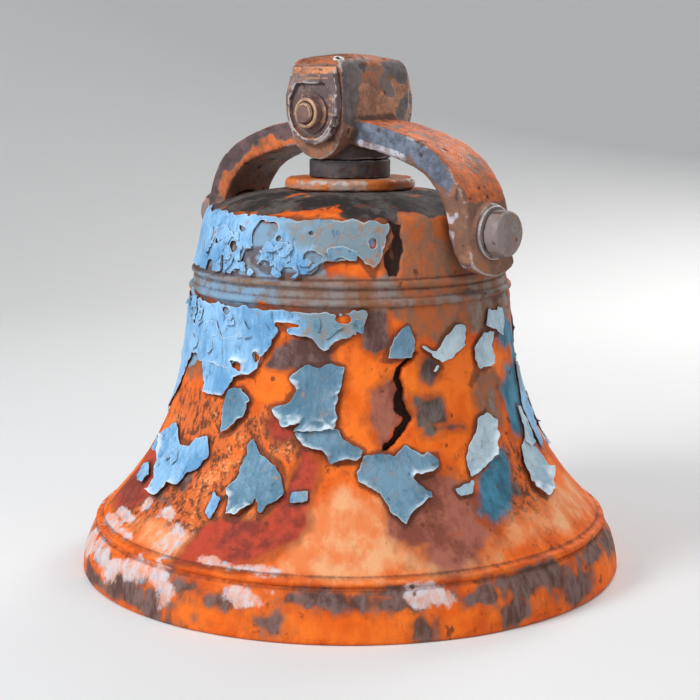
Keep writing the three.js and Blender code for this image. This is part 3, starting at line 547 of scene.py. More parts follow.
class Finish:
    """A material being built: each call adds one step and hands back the socket it ends in."""

    def __init__(self, name):
        self.material = bpy.data.materials.new(name)
        self.material.use_nodes = True
        self.tree = self.material.node_tree
        self.shader = self.tree.nodes["Principled BSDF"]
        self.spot = self.node("ShaderNodeTexCoord").outputs["Object"]

    def node(self, kind, **values):
        """A new node with its settings."""
        made = self.tree.nodes.new(kind)
        for key, value in values.items():
            setattr(made, key, value)
        return made

    def feed(self, socket, value):
        """Joins another socket to this one, or sets its colour or number."""
        if isinstance(value, bpy.types.NodeSocket):
            self.tree.links.new(value, socket)
        elif isinstance(value, tuple):
            socket.default_value = (*value, 1)
        else:
            socket.default_value = value

    def mask(self, name):
        """A number recorded on the mesh's vertices."""
        return self.node("ShaderNodeAttribute", attribute_name=name).outputs["Fac"]

    def noise(self, lump, detail=4, stretch=(1, 1, 1), rough_share=0.55):
        """Noise from 0 to 1 with lumps about that many millimetres across."""
        mapping = self.node("ShaderNodeMapping")
        mapping.inputs["Scale"].default_value = stretch
        self.feed(mapping.inputs["Vector"], self.spot)
        made = self.node("ShaderNodeTexNoise")
        made.inputs["Scale"].default_value = 1000 / lump
        made.inputs["Detail"].default_value = detail
        made.inputs["Roughness"].default_value = rough_share
        self.feed(made.inputs["Vector"], mapping.outputs["Vector"])
        return made.outputs["Fac"]

    def cells(self, lump):
        """Distance from the edges between cells about that many millimetres across."""
        made = self.node("ShaderNodeTexVoronoi", feature="DISTANCE_TO_EDGE")
        made.inputs["Scale"].default_value = 1000 / lump
        self.feed(made.inputs["Vector"], self.spot)
        return made.outputs["Distance"]

    def sum(self, first, second, share=1.0):
        """first plus share of second."""
        made = self.node("ShaderNodeMath", operation="MULTIPLY_ADD")
        self.feed(made.inputs[0], second)
        self.feed(made.inputs[1], share)
        self.feed(made.inputs[2], first)
        return made.outputs["Value"]

    def between(self, value, low, high, to_low=0.0, to_high=1.0):
        """A smooth rise from to_low to to_high as value goes from low to high."""
        made = self.node("ShaderNodeMapRange", interpolation_type="SMOOTHSTEP")
        self.feed(made.inputs["Value"], value)
        for key, number in (("From Min", low), ("From Max", high), ("To Min", to_low), ("To Max", to_high)):
            made.inputs[key].default_value = number
        return made.outputs["Result"]

    def mix(self, share, first, second):
        """The first colour where share is 0, and the second where it is 1."""
        made = self.node("ShaderNodeMix", data_type="RGBA", blend_type="MIX")
        self.feed(made.inputs["Factor"], share)
        self.feed(made.inputs[6], first)
        self.feed(made.inputs[7], second)
        return made.outputs[2]

    def done(self, colour, roughness, height, depth, metal=0.0, gloss=0.35):
        """Joins the last steps to the shader: depth is the bump's strength in millimetres."""
        self.feed(self.shader.inputs["Base Color"], colour)
        self.feed(self.shader.inputs["Roughness"], roughness)
        self.feed(self.shader.inputs["Metallic"], metal)
        self.shader.inputs["Specular IOR Level"].default_value = gloss
        bump = self.node("ShaderNodeBump")
        bump.inputs["Strength"].default_value = 0.9
        bump.inputs["Distance"].default_value = depth * MM
        self.feed(bump.inputs["Height"], height)
        self.feed(self.shader.inputs["Normal"], bump.outputs["Normal"])
        return self.material


def bell_rust():
    """Orange rust with the patches that the casting's masks mark, each with a brushed, speckled edge."""
    f = Finish("bell_rust")
    speck = f.noise(2.2, 5)
    blotch = f.noise(26, 6)
    mottle = f.noise(7, 6, rough_share=0.65)
    streak = f.noise(3.2, 5, stretch=(1, 1, 0.16), rough_share=0.6)
    grit = f.noise(4.5, 5, stretch=(1, 1, 0.55), rough_share=0.7)
    sweep = f.noise(14, 6, stretch=(1, 1, 0.4), rough_share=0.6)
    colour = f.mix(f.between(f.sum(blotch, sweep, 0.7), 0.66, 1.02), (0.7, 0.1, 0.008), (0.95, 0.19, 0.02))
    run_down = f.between(f.sum(mottle, streak, 0.6), 0.86, 1.02, 0.0, 0.75)
    colour = f.mix(run_down, colour, (0.42, 0.07, 0.015))
    plain = f.mix(f.between(f.sum(blotch, sweep, 0.6), 0.6, 0.95), (0.84, 0.13, 0.007), (0.98, 0.2, 0.018))

    def patch(key, paint, soft=0.06, breakup=0.45, source=None, most=1.0, rim=0.0):
        """The colour so far, with paint laid where a mask says and a dark rim just outside it."""
        edge = f.sum(f.mask(key), source or mottle, breakup)
        middle = 0.5 + breakup * 0.5
        around_it = f.between(edge, middle - soft - 0.24, middle - soft, 0.0, rim)
        under = f.mix(around_it, colour, (0.16, 0.045, 0.02))
        return f.mix(f.between(edge, middle - soft, middle + soft, 0.0, most), under, paint)

    scaly = f.mix(f.between(grit, 0.45, 0.6), (0.72, 0.15, 0.033), (0.16, 0.045, 0.02))
    scaly = f.mix(f.between(f.sum(blotch, speck, 0.5), 0.82, 0.94), scaly, (0.86, 0.3, 0.1))
    colour = patch("scaly", scaly, 0.14, 0.9, grit)
    colour = f.mix(f.between(f.sum(mottle, speck, 0.5), 0.92, 1.02), colour, (0.15, 0.05, 0.03))
    colour = patch("plain_orange", plain, 0.07, 0.2)
    pale = f.mix(f.between(f.sum(sweep, blotch), 0.85, 1.2), (0.84, 0.23, 0.07), (0.88, 0.42, 0.2))
    colour = patch("peach", pale, 0.34, 0.3, sweep)
    umber = f.between(f.sum(sweep, mottle, 0.7), 0.72, 0.98)
    brown = f.mix(umber, (0.46, 0.12, 0.035), (0.24, 0.13, 0.085))
    colour = patch("brown", brown, 0.24, 0.4, sweep, 0.95)
    rose = f.mix(f.between(f.sum(sweep, mottle, 0.5), 0.62, 0.88), (0.24, 0.065, 0.042), (0.4, 0.135, 0.09))
    colour = patch("dusty", rose, 0.16, 0.4, rim=0.3)
    red = f.mix(f.between(f.sum(blotch, mottle, 0.6), 0.68, 0.95), (0.52, 0.06, 0.028), (0.24, 0.04, 0.026))
    colour = patch("maroon", red, 0.13, 0.5, sweep, rim=0.5)
    wine = f.mix(f.between(f.sum(sweep, mottle, 0.5), 0.62, 0.9), (0.1, 0.045, 0.04), (0.22, 0.14, 0.13))
    colour = patch("mauve", wine, 0.1, 0.3, sweep, rim=0.4)
    dull = f.mix(f.between(f.sum(sweep, mottle), 0.85, 1.15), (0.08, 0.046, 0.038), (0.165, 0.135, 0.12))
    colour = patch("grey", dull, 0.15, 0.5, sweep, rim=0.3)
    bluish = f.mix(f.between(f.sum(blotch, mottle, 0.8), 0.78, 1.05), (0.21, 0.35, 0.5), (0.22, 0.2, 0.185))
    colour = patch("faded_blue", bluish, 0.07, 0.5, rim=0.4)
    ash = f.mix(f.between(f.sum(sweep, mottle, 0.7), 0.72, 1.0), (0.24, 0.11, 0.06), (0.27, 0.23, 0.21))
    colour = patch("ashen", ash, 0.2, 0.5, sweep, 0.95)
    sea = f.mix(f.between(f.sum(sweep, mottle, 0.5), 0.62, 0.9), (0.035, 0.12, 0.19), (0.07, 0.26, 0.38))
    colour = patch("teal", sea, 0.2, 0.5, sweep, rim=0.3)
    brush = f.noise(6, 5, stretch=(1, 1, 0.3), rough_share=0.6)
    soot = f.mix(f.between(brush, 0.36, 0.64), (0.06, 0.04, 0.036), (0.17, 0.13, 0.125))
    colour = patch("scorched", soot, 0.22, 0.8, brush, 0.92, rim=0.2)
    dab = f.noise(4.2, 6, stretch=(1, 1, 0.6), rough_share=0.75)
    white = f.mix(f.between(f.sum(brush, mottle, 0.6), 0.64, 0.96), (0.78, 0.4, 0.3), (0.72, 0.68, 0.7))
    white = f.mix(f.between(f.sum(sweep, dab, 0.6), 0.9, 0.98), white, (0.36, 0.52, 0.7))
    colour = patch("chalk", white, 0.16, 1.1, dab, 0.85)
    smoky = f.between(f.sum(blotch, mottle, 0.7), 0.75, 1.0)
    black = f.mix(smoky, (0.028, 0.023, 0.021), (0.11, 0.093, 0.088))
    colour = patch("crown_black", black, 0.06, 0.3)
    # Painted shade with some grime: the rust is darkened round the paint sheets and in the grooves by the
    # beads.
    shade_and_grime_mix = f.sum(f.sum(f.mask("painted_shade_and_grime"), mottle, 0.5), speck, 0.25)
    colour = f.mix(f.between(shade_and_grime_mix, 0.62, 1.0, 0.0, 0.72), colour, (0.1, 0.035, 0.022))
    colour = f.mix(f.between(f.mask("crack"), 0.45, 0.75), colour, (0.03, 0.012, 0.008))
    colour = f.mix(f.between(f.mask("pitted"), 0.2, 0.8, 0.0, 0.85), colour, (0.16, 0.045, 0.02))
    inner = f.mix(f.between(blotch, 0.4, 0.6), (0.16, 0.06, 0.03), (0.3, 0.1, 0.04))
    colour = f.mix(f.mask("inside"), colour, inner)
    height = f.sum(f.sum(mottle, speck, 0.6), f.noise(0.9, 3), 0.35)
    return f.done(colour, f.between(mottle, 0.3, 0.7, 0.6, 0.88), height, 0.8, gloss=0.22)


bell_shell.data.materials.append(bell_rust())
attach(bell_shell, "bell")
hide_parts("bell_shell")

# ---- Peeling paint ----
# Two thick old coats of light blue paint. What is left hangs on as ragged flakes, lifting and
# curling at their broken edges, most at the bottom. Each is a thin sheet over the bell's outer face.
PAINT_THICKNESS = 0.5
GRID_TURN = 0.7
GRID_RISE = 1.5
FINE_GRID = 0.6
SMALL_SHEET = 62  # sheets less tall than this get the fine grid
FULL_RAGGED = 40  # sheets at least this tall have the most ragged edges
PAINT_GAP = 0.6  # from the casting's mean surface to the sheet's underside
TEARING_CURL = 2.1  # sheets that curl less than this lie tight, and tear instead
TEARING_SIDE = -20  # and they tear only to the left of this angle
FAR_SIDE = 85  # the angle past which the weather has torn the sheets more freely
PAINT_TOP = 251
# Each outline: angle from the camera's side and height, how far its edge curls, and how far it stands
# off the coat below. Degrees and mm.
SHEETS = {
    "shoulder_paint": (
        [
            (-150, 212), (-64, 211), (-52, 213), (-44, 212), (-40, 224), (-33, 228), (-27, 214),
            (-16, 213), (-11, 218), (-8, 221), (-3, 224), (3, 226), (8, 214), (10, 224), (13, 238),
            (15.5, 247), (-20, 248), (-60, 249), (-110, 249), (-150, 246),
        ],
        1.3, 0,
    ),
    "waist_paint": (
        [
            (-150, 191), (-150, 140), (-112, 112), (-92, 106), (-82, 118), (-76, 126), (-72, 143),
            (-66, 154), (-60, 158), (-57, 152), (-52, 152), (-43, 150), (-41, 147), (-36, 147),
            (-31, 155), (-27, 168), (-23, 181), (-17, 176), (-12, 174), (-8, 165), (-5, 170),
            (-1, 175), (4.5, 184), (5.5, 191),
        ],
        1.8, 0,
    ),
    "waist_flake": (
        [
            (-57, 155), (-58, 168), (-55, 179), (-50, 181), (-46, 172), (-42, 170), (-39, 176),
            (-33, 179), (-28, 182), (-25, 176), (-29, 163), (-33, 149), (-39, 147), (-41, 142),
            (-43, 133), (-52, 134), (-55, 142),
        ],
        2.8, 0.7,
    ),
    "shoulder_flake": (
        [(-60, 240), (-52, 243), (-46, 236), (-44, 222), (-49, 211), (-57, 211), (-58, 224)],
        2.2, 0.6,
    ),
    "shoulder_curl": (
        [(-39, 227), (-34, 229), (-27, 225), (-26, 217), (-30, 215), (-33, 218), (-36, 221)],
        2.6, 0.2,
    ),
    "shoulder_scrap": ([(-8, 231), (-3, 233), (3, 229), (2, 223), (-3, 224), (-7, 222)], 2.4, 0.5),
    "middle_flake": (
        [
            (-19, 150), (-14, 157), (-6, 159), (-2, 157), (-3, 146), (-4, 130), (-4, 117), (-10, 118),
            (-16, 117), (-15, 121), (-20, 119), (-25, 130), (-20, 133), (-17, 142),
        ],
        3.6, 0.5,
    ),
    "lower_middle_flake": (
        [
            (-15, 122), (-8, 122), (-3, 118), (-2, 113), (4, 106), (2, 100), (-5, 99), (-8, 106),
            (-13, 108), (-16, 115),
        ],
        3.6, 0,
    ),
    "small_grey_flake": (
        [(-42, 137), (-36, 140), (-32, 133), (-34, 122), (-38, 111), (-41, 109), (-42, 124)],
        2.4, 0,
    ),
    "left_flake": (
        [
            (-74, 96), (-70, 104), (-65, 106), (-60, 99), (-53, 98), (-49, 104), (-46, 106), (-43, 95),
            (-46, 87), (-51, 82), (-51, 74), (-55, 75), (-57, 64), (-62, 65), (-66, 80),
        ],
        3.8, 0,
    ),
    "lower_flake": (
        [
            (-31, 97), (-29, 110), (-26, 103), (-20, 97), (-18, 89), (-18, 79), (-22, 66), (-24, 76),
            (-28, 63), (-31, 64), (-33, 80), (-31, 88),
        ],
        3.8, 0,
    ),
    "left_sliver": ([(-37, 75), (-34, 73), (-35, 62), (-37, 66)], 2.0, 0),
    "right_sliver": ([(-15, 81), (-11, 82), (-11, 77), (-15, 75)], 2.0, 0),
    "far_left_flake": ([(-79, 73), (-74, 77), (-67, 73), (-69, 67), (-75, 66)], 2.4, 0),
    "front_flake": (
        [
            (2, 93), (4, 102), (9, 105), (12, 102), (16, 107), (20, 102), (25, 101), (25, 94),
            (22, 90), (17, 89), (21, 80), (17, 73), (13, 64), (10, 71), (8, 82), (3, 87),
        ],
        2.4, 0,
    ),
    "upright_flake": (
        [(34, 86), (35, 97), (39, 108), (42, 119), (46, 121), (50, 116), (48, 105), (45, 96), (39, 90)],
        3.6, 0,
    ),
    "scrap": ([(28, 80), (34, 83), (33, 77), (29, 76)], 1.8, 0),
    "winged_flake": (
        [
            (24, 168), (29, 164), (33, 175), (37, 180), (41, 178), (40, 167), (35, 161), (30, 159),
            (27, 163),
        ],
        3.4, 0,
    ),
    "tiny_chip": ([(27, 152), (29, 157), (30, 155), (28, 151)], 1.6, 0),
    "stripe_flake": (
        [(42, 141), (45, 150), (45, 164), (50, 173), (58, 173), (55, 161), (53, 150), (47, 149)],
        3.4, 0,
    ),
    "high_flake": (
        [
            (52, 177), (54, 186), (60, 183), (62, 187), (65, 186), (66, 180), (61, 169), (57, 173),
            (54, 174),
        ],
        2.8, 0.2,
    ),
    "low_right_flake": (
        [(55, 70), (56, 84), (60, 94), (64, 98), (68, 89), (69, 76), (64, 66), (58, 64)],
        3.6, 0,
    ),
    "white_strip": (
        [(62, 96), (65, 106), (66, 119), (69, 118), (70, 103), (69, 93), (65, 92)],
        1.8, 0.4,
    ),
    "dark_strip_flake": ([(11, 161), (20, 162), (21, 175), (19, 182), (14, 175)], 1.4, 0),
    "edge_flake": ([(73, 88), (72, 120), (75, 146), (82, 142), (81, 110), (78, 92)], 1.5, 0),
    "back_sheet": (
        [
            (96, 191), (92, 165), (99, 140), (112, 150), (118, 128), (131, 120), (140, 142),
            (150, 158), (158, 150), (170, 120), (184, 108), (196, 126), (204, 150), (211, 191),
        ],
        2.6, 0,
    ),
    "back_shoulder": (
        [
            (92, 211), (96, 236), (108, 248), (160, 248), (211, 247), (211, 213), (180, 212),
            (160, 222), (150, 212), (120, 213), (110, 226), (104, 212),
        ],
        1.6, 0,
    ),
    "back_overlap": (
        [(120, 188), (116, 168), (124, 146), (134, 140), (142, 160), (150, 172), (146, 188)],
        3.0, 0.7,
    ),
    "back_flake": ([(104, 96), (100, 76), (110, 64), (120, 78), (126, 94), (116, 104)], 3.4, 0),
    "back_low_flake": ([(150, 88), (146, 70), (158, 58), (170, 66), (174, 84), (162, 92)], 3.4, 0),
    "back_left_flake": ([(198, 92), (192, 74), (206, 60), (222, 70), (226, 92), (212, 100)], 3.2, 0),
    "back_curl": ([(132, 84), (128, 72), (138, 60), (147, 72), (141, 90)], 2.8, 0),
    "back_strip": ([(180, 108), (176, 86), (178, 66), (186, 62), (190, 84), (192, 104)], 3.2, 0),
    "back_scrap": ([(226, 142), (222, 124), (232, 114), (244, 126), (240, 146)], 2.8, 0),
    "side_flake": ([(92, 120), (87, 100), (93, 80), (102, 90), (101, 114)], 3.4, 0),
    "far_side_flake": ([(238, 104), (232, 86), (244, 74), (256, 84), (262, 102), (250, 112)], 3.2, 0),
}
# Bare patches broken out of the large sheets: angle, height and half sizes.
BARE = [
    (-34, 236, 4, 9), (-37, 224, 5, 6), (-30, 241, 3, 5), (-46, 229, 2.5, 5), (-31, 219, 3, 4),
    (-12, 225, 4, 3.5), (4, 216, 7, 5), (-60, 213, 3, 5), (-58, 231, 2, 2.5), (-46, 188, 3, 2.5),
    (-38, 154, 2.4, 3), (-31, 161, 1.4, 4), (-8, 219, 3, 5), (-21, 215, 3, 3), (-26, 236, 1.2, 2),
    (-51, 216, 1, 7), (150, 230, 5, 6), (128, 172, 5, 8), (182, 150, 5, 7), (-100, 160, 6, 10),
    (-120, 180, 6, 6), (-110, 228, 5, 6), (-43, 241, 1.5, 1.5), (-21, 182, 3, 2), (-14, 240, 1, 1.4),
    (-66, 176, 1.6, 1.4), (8, 234, 1.4, 3), (-3, 187, 2.5, 3),
]


def torn_field(face, turn, height, corners, curl, big, seed):
    """How far each place is inside a sheet's ragged outline in mm, negative where the paint is gone."""
    field = inside_by(turn, height, corners, np.hypot(face[:, 0], face[:, 1]))
    field += (1.7 * big + 0.4) * rough(face, 13, seed) + 0.8 * lattice(face, 4.2, seed + 9)
    field += 0.5 * lattice(face, 2.1, seed + 10)
    if min(corner[0] for corner in corners) > FAR_SIDE:
        field += 4.5 * rough(face, 22, seed + 30)
    for middle, level, half_turn, half_height in BARE:
        reach = np.hypot((turn - middle) / half_turn, (height - level) / half_height)
        gap = (reach - 1) * half_height + 0.4 * half_height * lattice(face, 9, seed + 7)
        gap += 1.3 * lattice(face, 5, seed + 2) + 0.7 * lattice(face, 2.4, seed + 3)
        field = np.minimum(field, gap)
    if curl < TEARING_CURL:
        tear = np.abs(lattice(face, 26, seed + 20) + 0.35 * lattice(face, 9, seed + 21)) * 16 - 0.5
        torn_here = lattice(face, 33, seed + 22)
        field = np.minimum(field, np.where((torn_here > 0.25) & (turn < TEARING_SIDE), tear, 9))
    return field


def cut_sheet(turn, height, field, across, rise):
    """The part of a grid where the field is above 0, cut along its zero line: its spots and its cells.

    Each spot is an angle, a height, the field there, and how fast the field grows going up.
    """
    growth = np.gradient(field.reshape(-1, across), rise, axis=0).ravel()
    spots, used, cuts, cells = [], {}, {}, []

    def corner(index):
        if index not in used:
            used[index] = len(spots)
            spots.append((turn[index], height[index], field[index], growth[index]))
        return used[index]

    def crossing(a, b):
        key = (min(a, b), max(a, b))
        if key not in cuts:
            share = field[a] / (field[a] - field[b])
            cuts[key] = len(spots)
            here = (turn[a] + share * (turn[b] - turn[a]), height[a] + share * (height[b] - height[a]))
            spots.append((*here, 0.0, growth[a] + share * (growth[b] - growth[a])))
        return cuts[key]

    for row in range(len(field) // across - 1):
        for column in range(across - 1):
            start = row * across + column
            ring = (start, start + 1, start + 1 + across, start + across)
            shown = [field[k] > 0 for k in ring]
            if not any(shown):
                continue
            cell = []
            for a, b, a_in, b_in in zip(ring, ring[1:] + ring[:1], shown, shown[1:] + shown[:1]):
                if a_in:
                    cell.append(corner(a))
                if a_in != b_in:
                    cell.append(crossing(a, b))
            if len(cell) > 2:
                cells.append(tuple(cell))
    return np.array(spots), cells


def wall_facing(turn, height):
    """The direction that the bell's outer face looks in at each angle and height."""
    step = 0.5
    above = np.interp(height + step, wall_line[:, 1], wall_line[:, 0])
    below = np.interp(height - step, wall_line[:, 1], wall_line[:, 0])
    tilt = np.arctan2(below - above, 2 * step)
    heading = FACING + np.radians(turn)
    return np.stack([np.cos(heading) * np.cos(tilt), np.sin(heading) * np.cos(tilt), np.sin(tilt)], axis=1)


def paint_sheet(name, corners, curl, stand, seed):
    """One ragged flake: its face follows the casting, and its broken edge lifts away from it.

    It gives None where no paint is left, as for a scale that falls in a bare patch.
    """
    lows, highs = np.min(corners, axis=0), np.max(corners, axis=0)
    tall = highs[1] - lows[1]
    big = min(1.0, tall / FULL_RAGGED)
    fine = FINE_GRID if tall < SMALL_SHEET else 1
    columns = np.arange(lows[0] - 3, highs[0] + 3, GRID_TURN * fine)
    rows = np.arange(lows[1] - 4, min(highs[1] + 4, PAINT_TOP), GRID_RISE * fine)
    turn, height = (a.ravel() for a in np.meshgrid(columns, rows))
    field = torn_field(around(turn, height, wall_line), turn, height, corners, curl, big, seed)
    spots, cells = cut_sheet(turn, height, field, len(columns), GRID_RISE * fine)
    if not cells:
        return None
    face = around(spots[:, 0], spots[:, 1], wall_line)
    out = wall_facing(spots[:, 0], spots[:, 1])
    inward = np.clip(spots[:, 2], 0, None)
    lively = 0.55 + 0.6 * rough(face, 22, seed + 4)
    hanging = 0.4 + 0.95 * np.clip(spots[:, 3], 0, 1)  # the lower edges curl most
    lift = curl * hanging * np.clip(lively, 0.08, 1.5) * np.exp(-inward / (1.6 + 0.9 * curl))
    # Painted highlight: how far the paint is lightened where its edge curls up.
    painted_curl_highlight = lift / 3 * (0.3 + 0.7 * big)
    lift += stand + 0.22 * lattice(face, 9, seed + 6) + PAINT_GAP + casting_swell(face)
    low = face + out * lift[:, None]
    high = face + out * (lift + PAINT_THICKNESS)[:, None]
    count = len(spots)
    edges = {(a, b) for cell in cells for a, b in zip(cell, cell[1:] + cell[:1])}
    rim = [(b, a, a + count, b + count) for a, b in sorted(edges) if (b, a) not in edges]
    back = [tuple(k + count for k in reversed(cell)) for cell in cells]
    made = build_mesh(name, np.concatenate([high, low]), cells + back + rim)
    # The weather has greyed the paint across the front, and less and less round the right side.
    greyed = soft_step(spots[:, 0] + 9 * rough(face, 30, 7), -52, 0)
    greyed *= 1 - soft_step(spots[:, 0] + 40 * rough(face, 40, 8), 40, 110)
    record_mask(made, "edge", np.tile(np.exp(-inward / 1.6), 2))
    record_mask(made, "painted_curl_highlight", np.tile(np.clip(painted_curl_highlight, 0, 1), 2))
    record_mask(made, "greyed", np.tile(greyed, 2))
    record_mask(made, "under", np.repeat([0, 1], count))
    return made


def old_paint(name, pale, deep, grey, greyness):
    """Chalky blue paint, with painted highlights where it curls and along its broken edges, with rust
    bleeding through and fine scratches.
    """
    f = Finish(name)
    cloud = f.noise(30, 5)
    mottle = f.noise(8, 5)
    speck = f.noise(1.8, 4)
    brushed = f.noise(2.6, 4, stretch=(1, 1, 0.22))
    crackle = f.cells(11)
    colour = f.mix(f.between(f.sum(cloud, brushed, 0.5), 0.6, 0.9), deep, pale)
    faded = f.sum(f.sum(f.mask("greyed"), cloud, 0.9), mottle, 0.7)
    colour = f.mix(f.between(faded, 1.35, 1.75, 0.0, greyness), colour, grey)
    stained = f.sum(f.sum(f.mask("greyed"), mottle, 1.6), brushed, 0.9)
    colour = f.mix(f.between(stained, 2.2, 2.5, 0.0, greyness), colour, (0.34, 0.2, 0.13))
    colour = f.mix(f.between(f.sum(mottle, speck, 0.35), 0.82, 0.9, 0.0, 0.7), colour, (0.42, 0.22, 0.14))
    scuff = f.noise(5, 5, stretch=(1, 1, 0.4), rough_share=0.7)
    colour = f.mix(f.between(scuff, 0.58, 0.66, 0.0, 0.75), colour, tuple(0.45 * c for c in deep))
    # Painted highlight: the paint turns pale where its edges curl up.
    colour = f.mix(f.between(f.mask("painted_curl_highlight"), 0.28, 1.0, 0.0, 0.85), colour, (0.74, 0.84, 0.91))
    # Painted highlight: a thin, patchy pale line along each sheet's broken edge.
    lip = f.between(f.sum(f.sum(f.mask("edge"), mottle, 1.0), cloud, 1.6), 2.0, 2.3, 0.0, 0.4)
    colour = f.mix(lip, colour, (0.62, 0.7, 0.76))
    colour = f.mix(f.mask("under"), colour, (0.42, 0.34, 0.3))
    height = f.sum(f.sum(mottle, speck, 0.3), f.between(crackle, 0.0, 0.05), 0.25)
    return f.done(colour, f.between(mottle, 0.35, 0.65, 0.45, 0.68), height, 0.6, gloss=0.35)


painted_shade_and_grime = np.zeros(len(shell_points))
# Painted shade, with some grime, darkens the rust in the grooves above and below each bead, and round every
# sheet of paint.
waist_grooves = (LOW_BEAD_Z - 3.1, LOW_BEAD_Z + 3.5, HIGH_BEAD_Z - 3.4, HIGH_BEAD_Z + 3.2)
for level in (*waist_grooves, LIP_H - 1.2, LIP_H + 5.4):
    painted_shade_and_grime = np.maximum(painted_shade_and_grime, 0.9 * np.exp(-np.abs(grid_z - level) / 0.9))
wrapped_turn = (grid_turn + 180) % 360 - 180
for corners, curl, stand in SHEETS.values():
    reach = inside_by(wrapped_turn, grid_z, corners, grid_r)
    painted_shade_and_grime = np.maximum(painted_shade_and_grime, np.exp(-np.abs(reach) / 2.6) * np.where(reach > -9, 1, 0))
record_mask(bell_shell, "painted_shade_and_grime", np.where(is_outer, painted_shade_and_grime, 0))

SKY_PAINT = old_paint("sky_paint", (0.28, 0.53, 0.81), (0.12, 0.32, 0.57), (0.2, 0.27, 0.31), 0.95)
SLATE_PAINT = old_paint("slate_paint", (0.16, 0.32, 0.45), (0.085, 0.2, 0.3), (0.17, 0.22, 0.26), 0.15)
PALE_PAINT = old_paint("pale_paint", (0.55, 0.7, 0.78), (0.33, 0.48, 0.59), (0.36, 0.42, 0.47), 0.15)
SLATE_SHEETS = (
    "middle_flake", "lower_middle_flake", "small_grey_flake", "front_flake", "dark_strip_flake",
    "lower_flake", "shoulder_scrap", "back_overlap", "back_strip",
)
PALE_SHEETS = (
    "upright_flake", "stripe_flake", "high_flake", "low_right_flake", "white_strip", "winged_flake",
    "scrap", "tiny_chip", "side_flake", "back_scrap",
)
for seed, (name, (corners, curl, stand)) in enumerate(SHEETS.items()):
    flake = paint_sheet(name, corners, curl, stand, 100 + 13 * seed)
    paint = SLATE_PAINT if name in SLATE_SHEETS else PALE_PAINT if name in PALE_SHEETS else SKY_PAINT
    flake.data.materials.append(paint)
    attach(flake, "bell")

# Small scales still clinging where the paint is breaking up. Each field: its middle's angle and height,
# how far it spreads round and up, how many scales it holds, and their paint.
SCALE_FIELDS = [
    (-50, 226, 14, 12, 24, SKY_PAINT), (-26, 222, 14, 9, 18, SKY_PAINT), (-52, 172, 16, 14, 12, SKY_PAINT),
    (-68, 184, 10, 8, 8, SKY_PAINT), (-3, 182, 10, 6, 6, SLATE_PAINT), (-66, 84, 12, 10, 5, SKY_PAINT),
    (140, 160, 40, 30, 22, SKY_PAINT), (220, 150, 34, 40, 22, SKY_PAINT),
]
SCALE_SIDES = 6
DEGREE_MM = 1.95  # a degree round the bell, near its waist
draw = np.random.default_rng(17)


def scale_corners(at_turn, at_height, size, slant, thin):
    """A small uneven six-sided outline, longer one way than the other and turned by slant."""
    corners = []
    for step in range(SCALE_SIDES):
        reach = size * draw.uniform(0.55, 1.25)
        way = step * 2 * math.pi / SCALE_SIDES
        along, aside = reach * math.cos(way), thin * reach * math.sin(way)
        right = along * math.cos(slant) - aside * math.sin(slant)
        up = along * math.sin(slant) + aside * math.cos(slant)
        corners.append((at_turn + right / DEGREE_MM, at_height + up))
    return corners


for number, (middle, level, wide, tall, count, paint) in enumerate(SCALE_FIELDS):
    scales = []
    for k in range(count):
        at_turn = middle + wide * draw.uniform(-1, 1)
        at_height = level + tall * draw.uniform(-1, 1)
        size, slant, thin = draw.uniform(3, 7), draw.uniform(0, 6.28), draw.uniform(0.45, 0.8)
        corners = scale_corners(at_turn, at_height, size, slant, thin)
        scale_piece = paint_sheet(f"scale_{number}_{k}", corners, 2.6, 0.5, 900 + 31 * number + k)
        if scale_piece is not None:
            scales.append(scale_piece)
    with bpy.context.temp_override(active_object=scales[0], selected_editable_objects=scales):
        bpy.ops.object.join()
    scales[0].name = f"paint_scales_{number + 1}"
    scales[0].data.materials.append(paint)
    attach(scales[0], "bell")

# ---- Bow with its hub ----
# One iron casting: two arms sweep down to round-ended feet on the bell's shoulder, and the square
# hub for the pivot pin stands on the middle. Its skin is pitted, and handling has rubbed its edges.


def neighbours_mean(mesh, values):
    """The mean of a per-vertex value over each vertex's neighbours."""
    ends = np.zeros(len(mesh.edges) * 2, int)
    mesh.edges.foreach_get("vertices", ends)
    ends = ends.reshape(-1, 2)
    total = np.zeros_like(values)
    count = np.zeros(len(values))
    for a, b in ((0, 1), (1, 0)):
        np.add.at(total, ends[:, a], values[ends[:, b]])
        np.add.at(count, ends[:, a], 1)
    return total / np.maximum(count, 1)[:, None]


def vertex_data(mesh):
    """Where a mesh's vertices are, in mm, and which way they face."""
    points = np.zeros(len(mesh.vertices) * 3)
    normals = np.zeros(len(mesh.vertices) * 3)
    mesh.vertices.foreach_get("co", points)
    mesh.vertices.foreach_get("normal", normals)
    return points.reshape(-1, 3) / MM, normals.reshape(-1, 3)


def mark_edges(made, reach=6, gain=1.0):
    """Records how much each vertex stands on an outside edge, for wear, and how far it lies in a corner,
    where the colour is darkened.
    """
    points, normals = vertex_data(made.data)
    even = points
    for _ in range(reach):
        even = neighbours_mean(made.data, even)
    stand = np.einsum("ij,ij->i", points - even, normals) * gain
    record_mask(made, "edge", np.clip(stand, 0, 1))
    record_mask(made, "corner", np.clip(-stand, 0, 1))


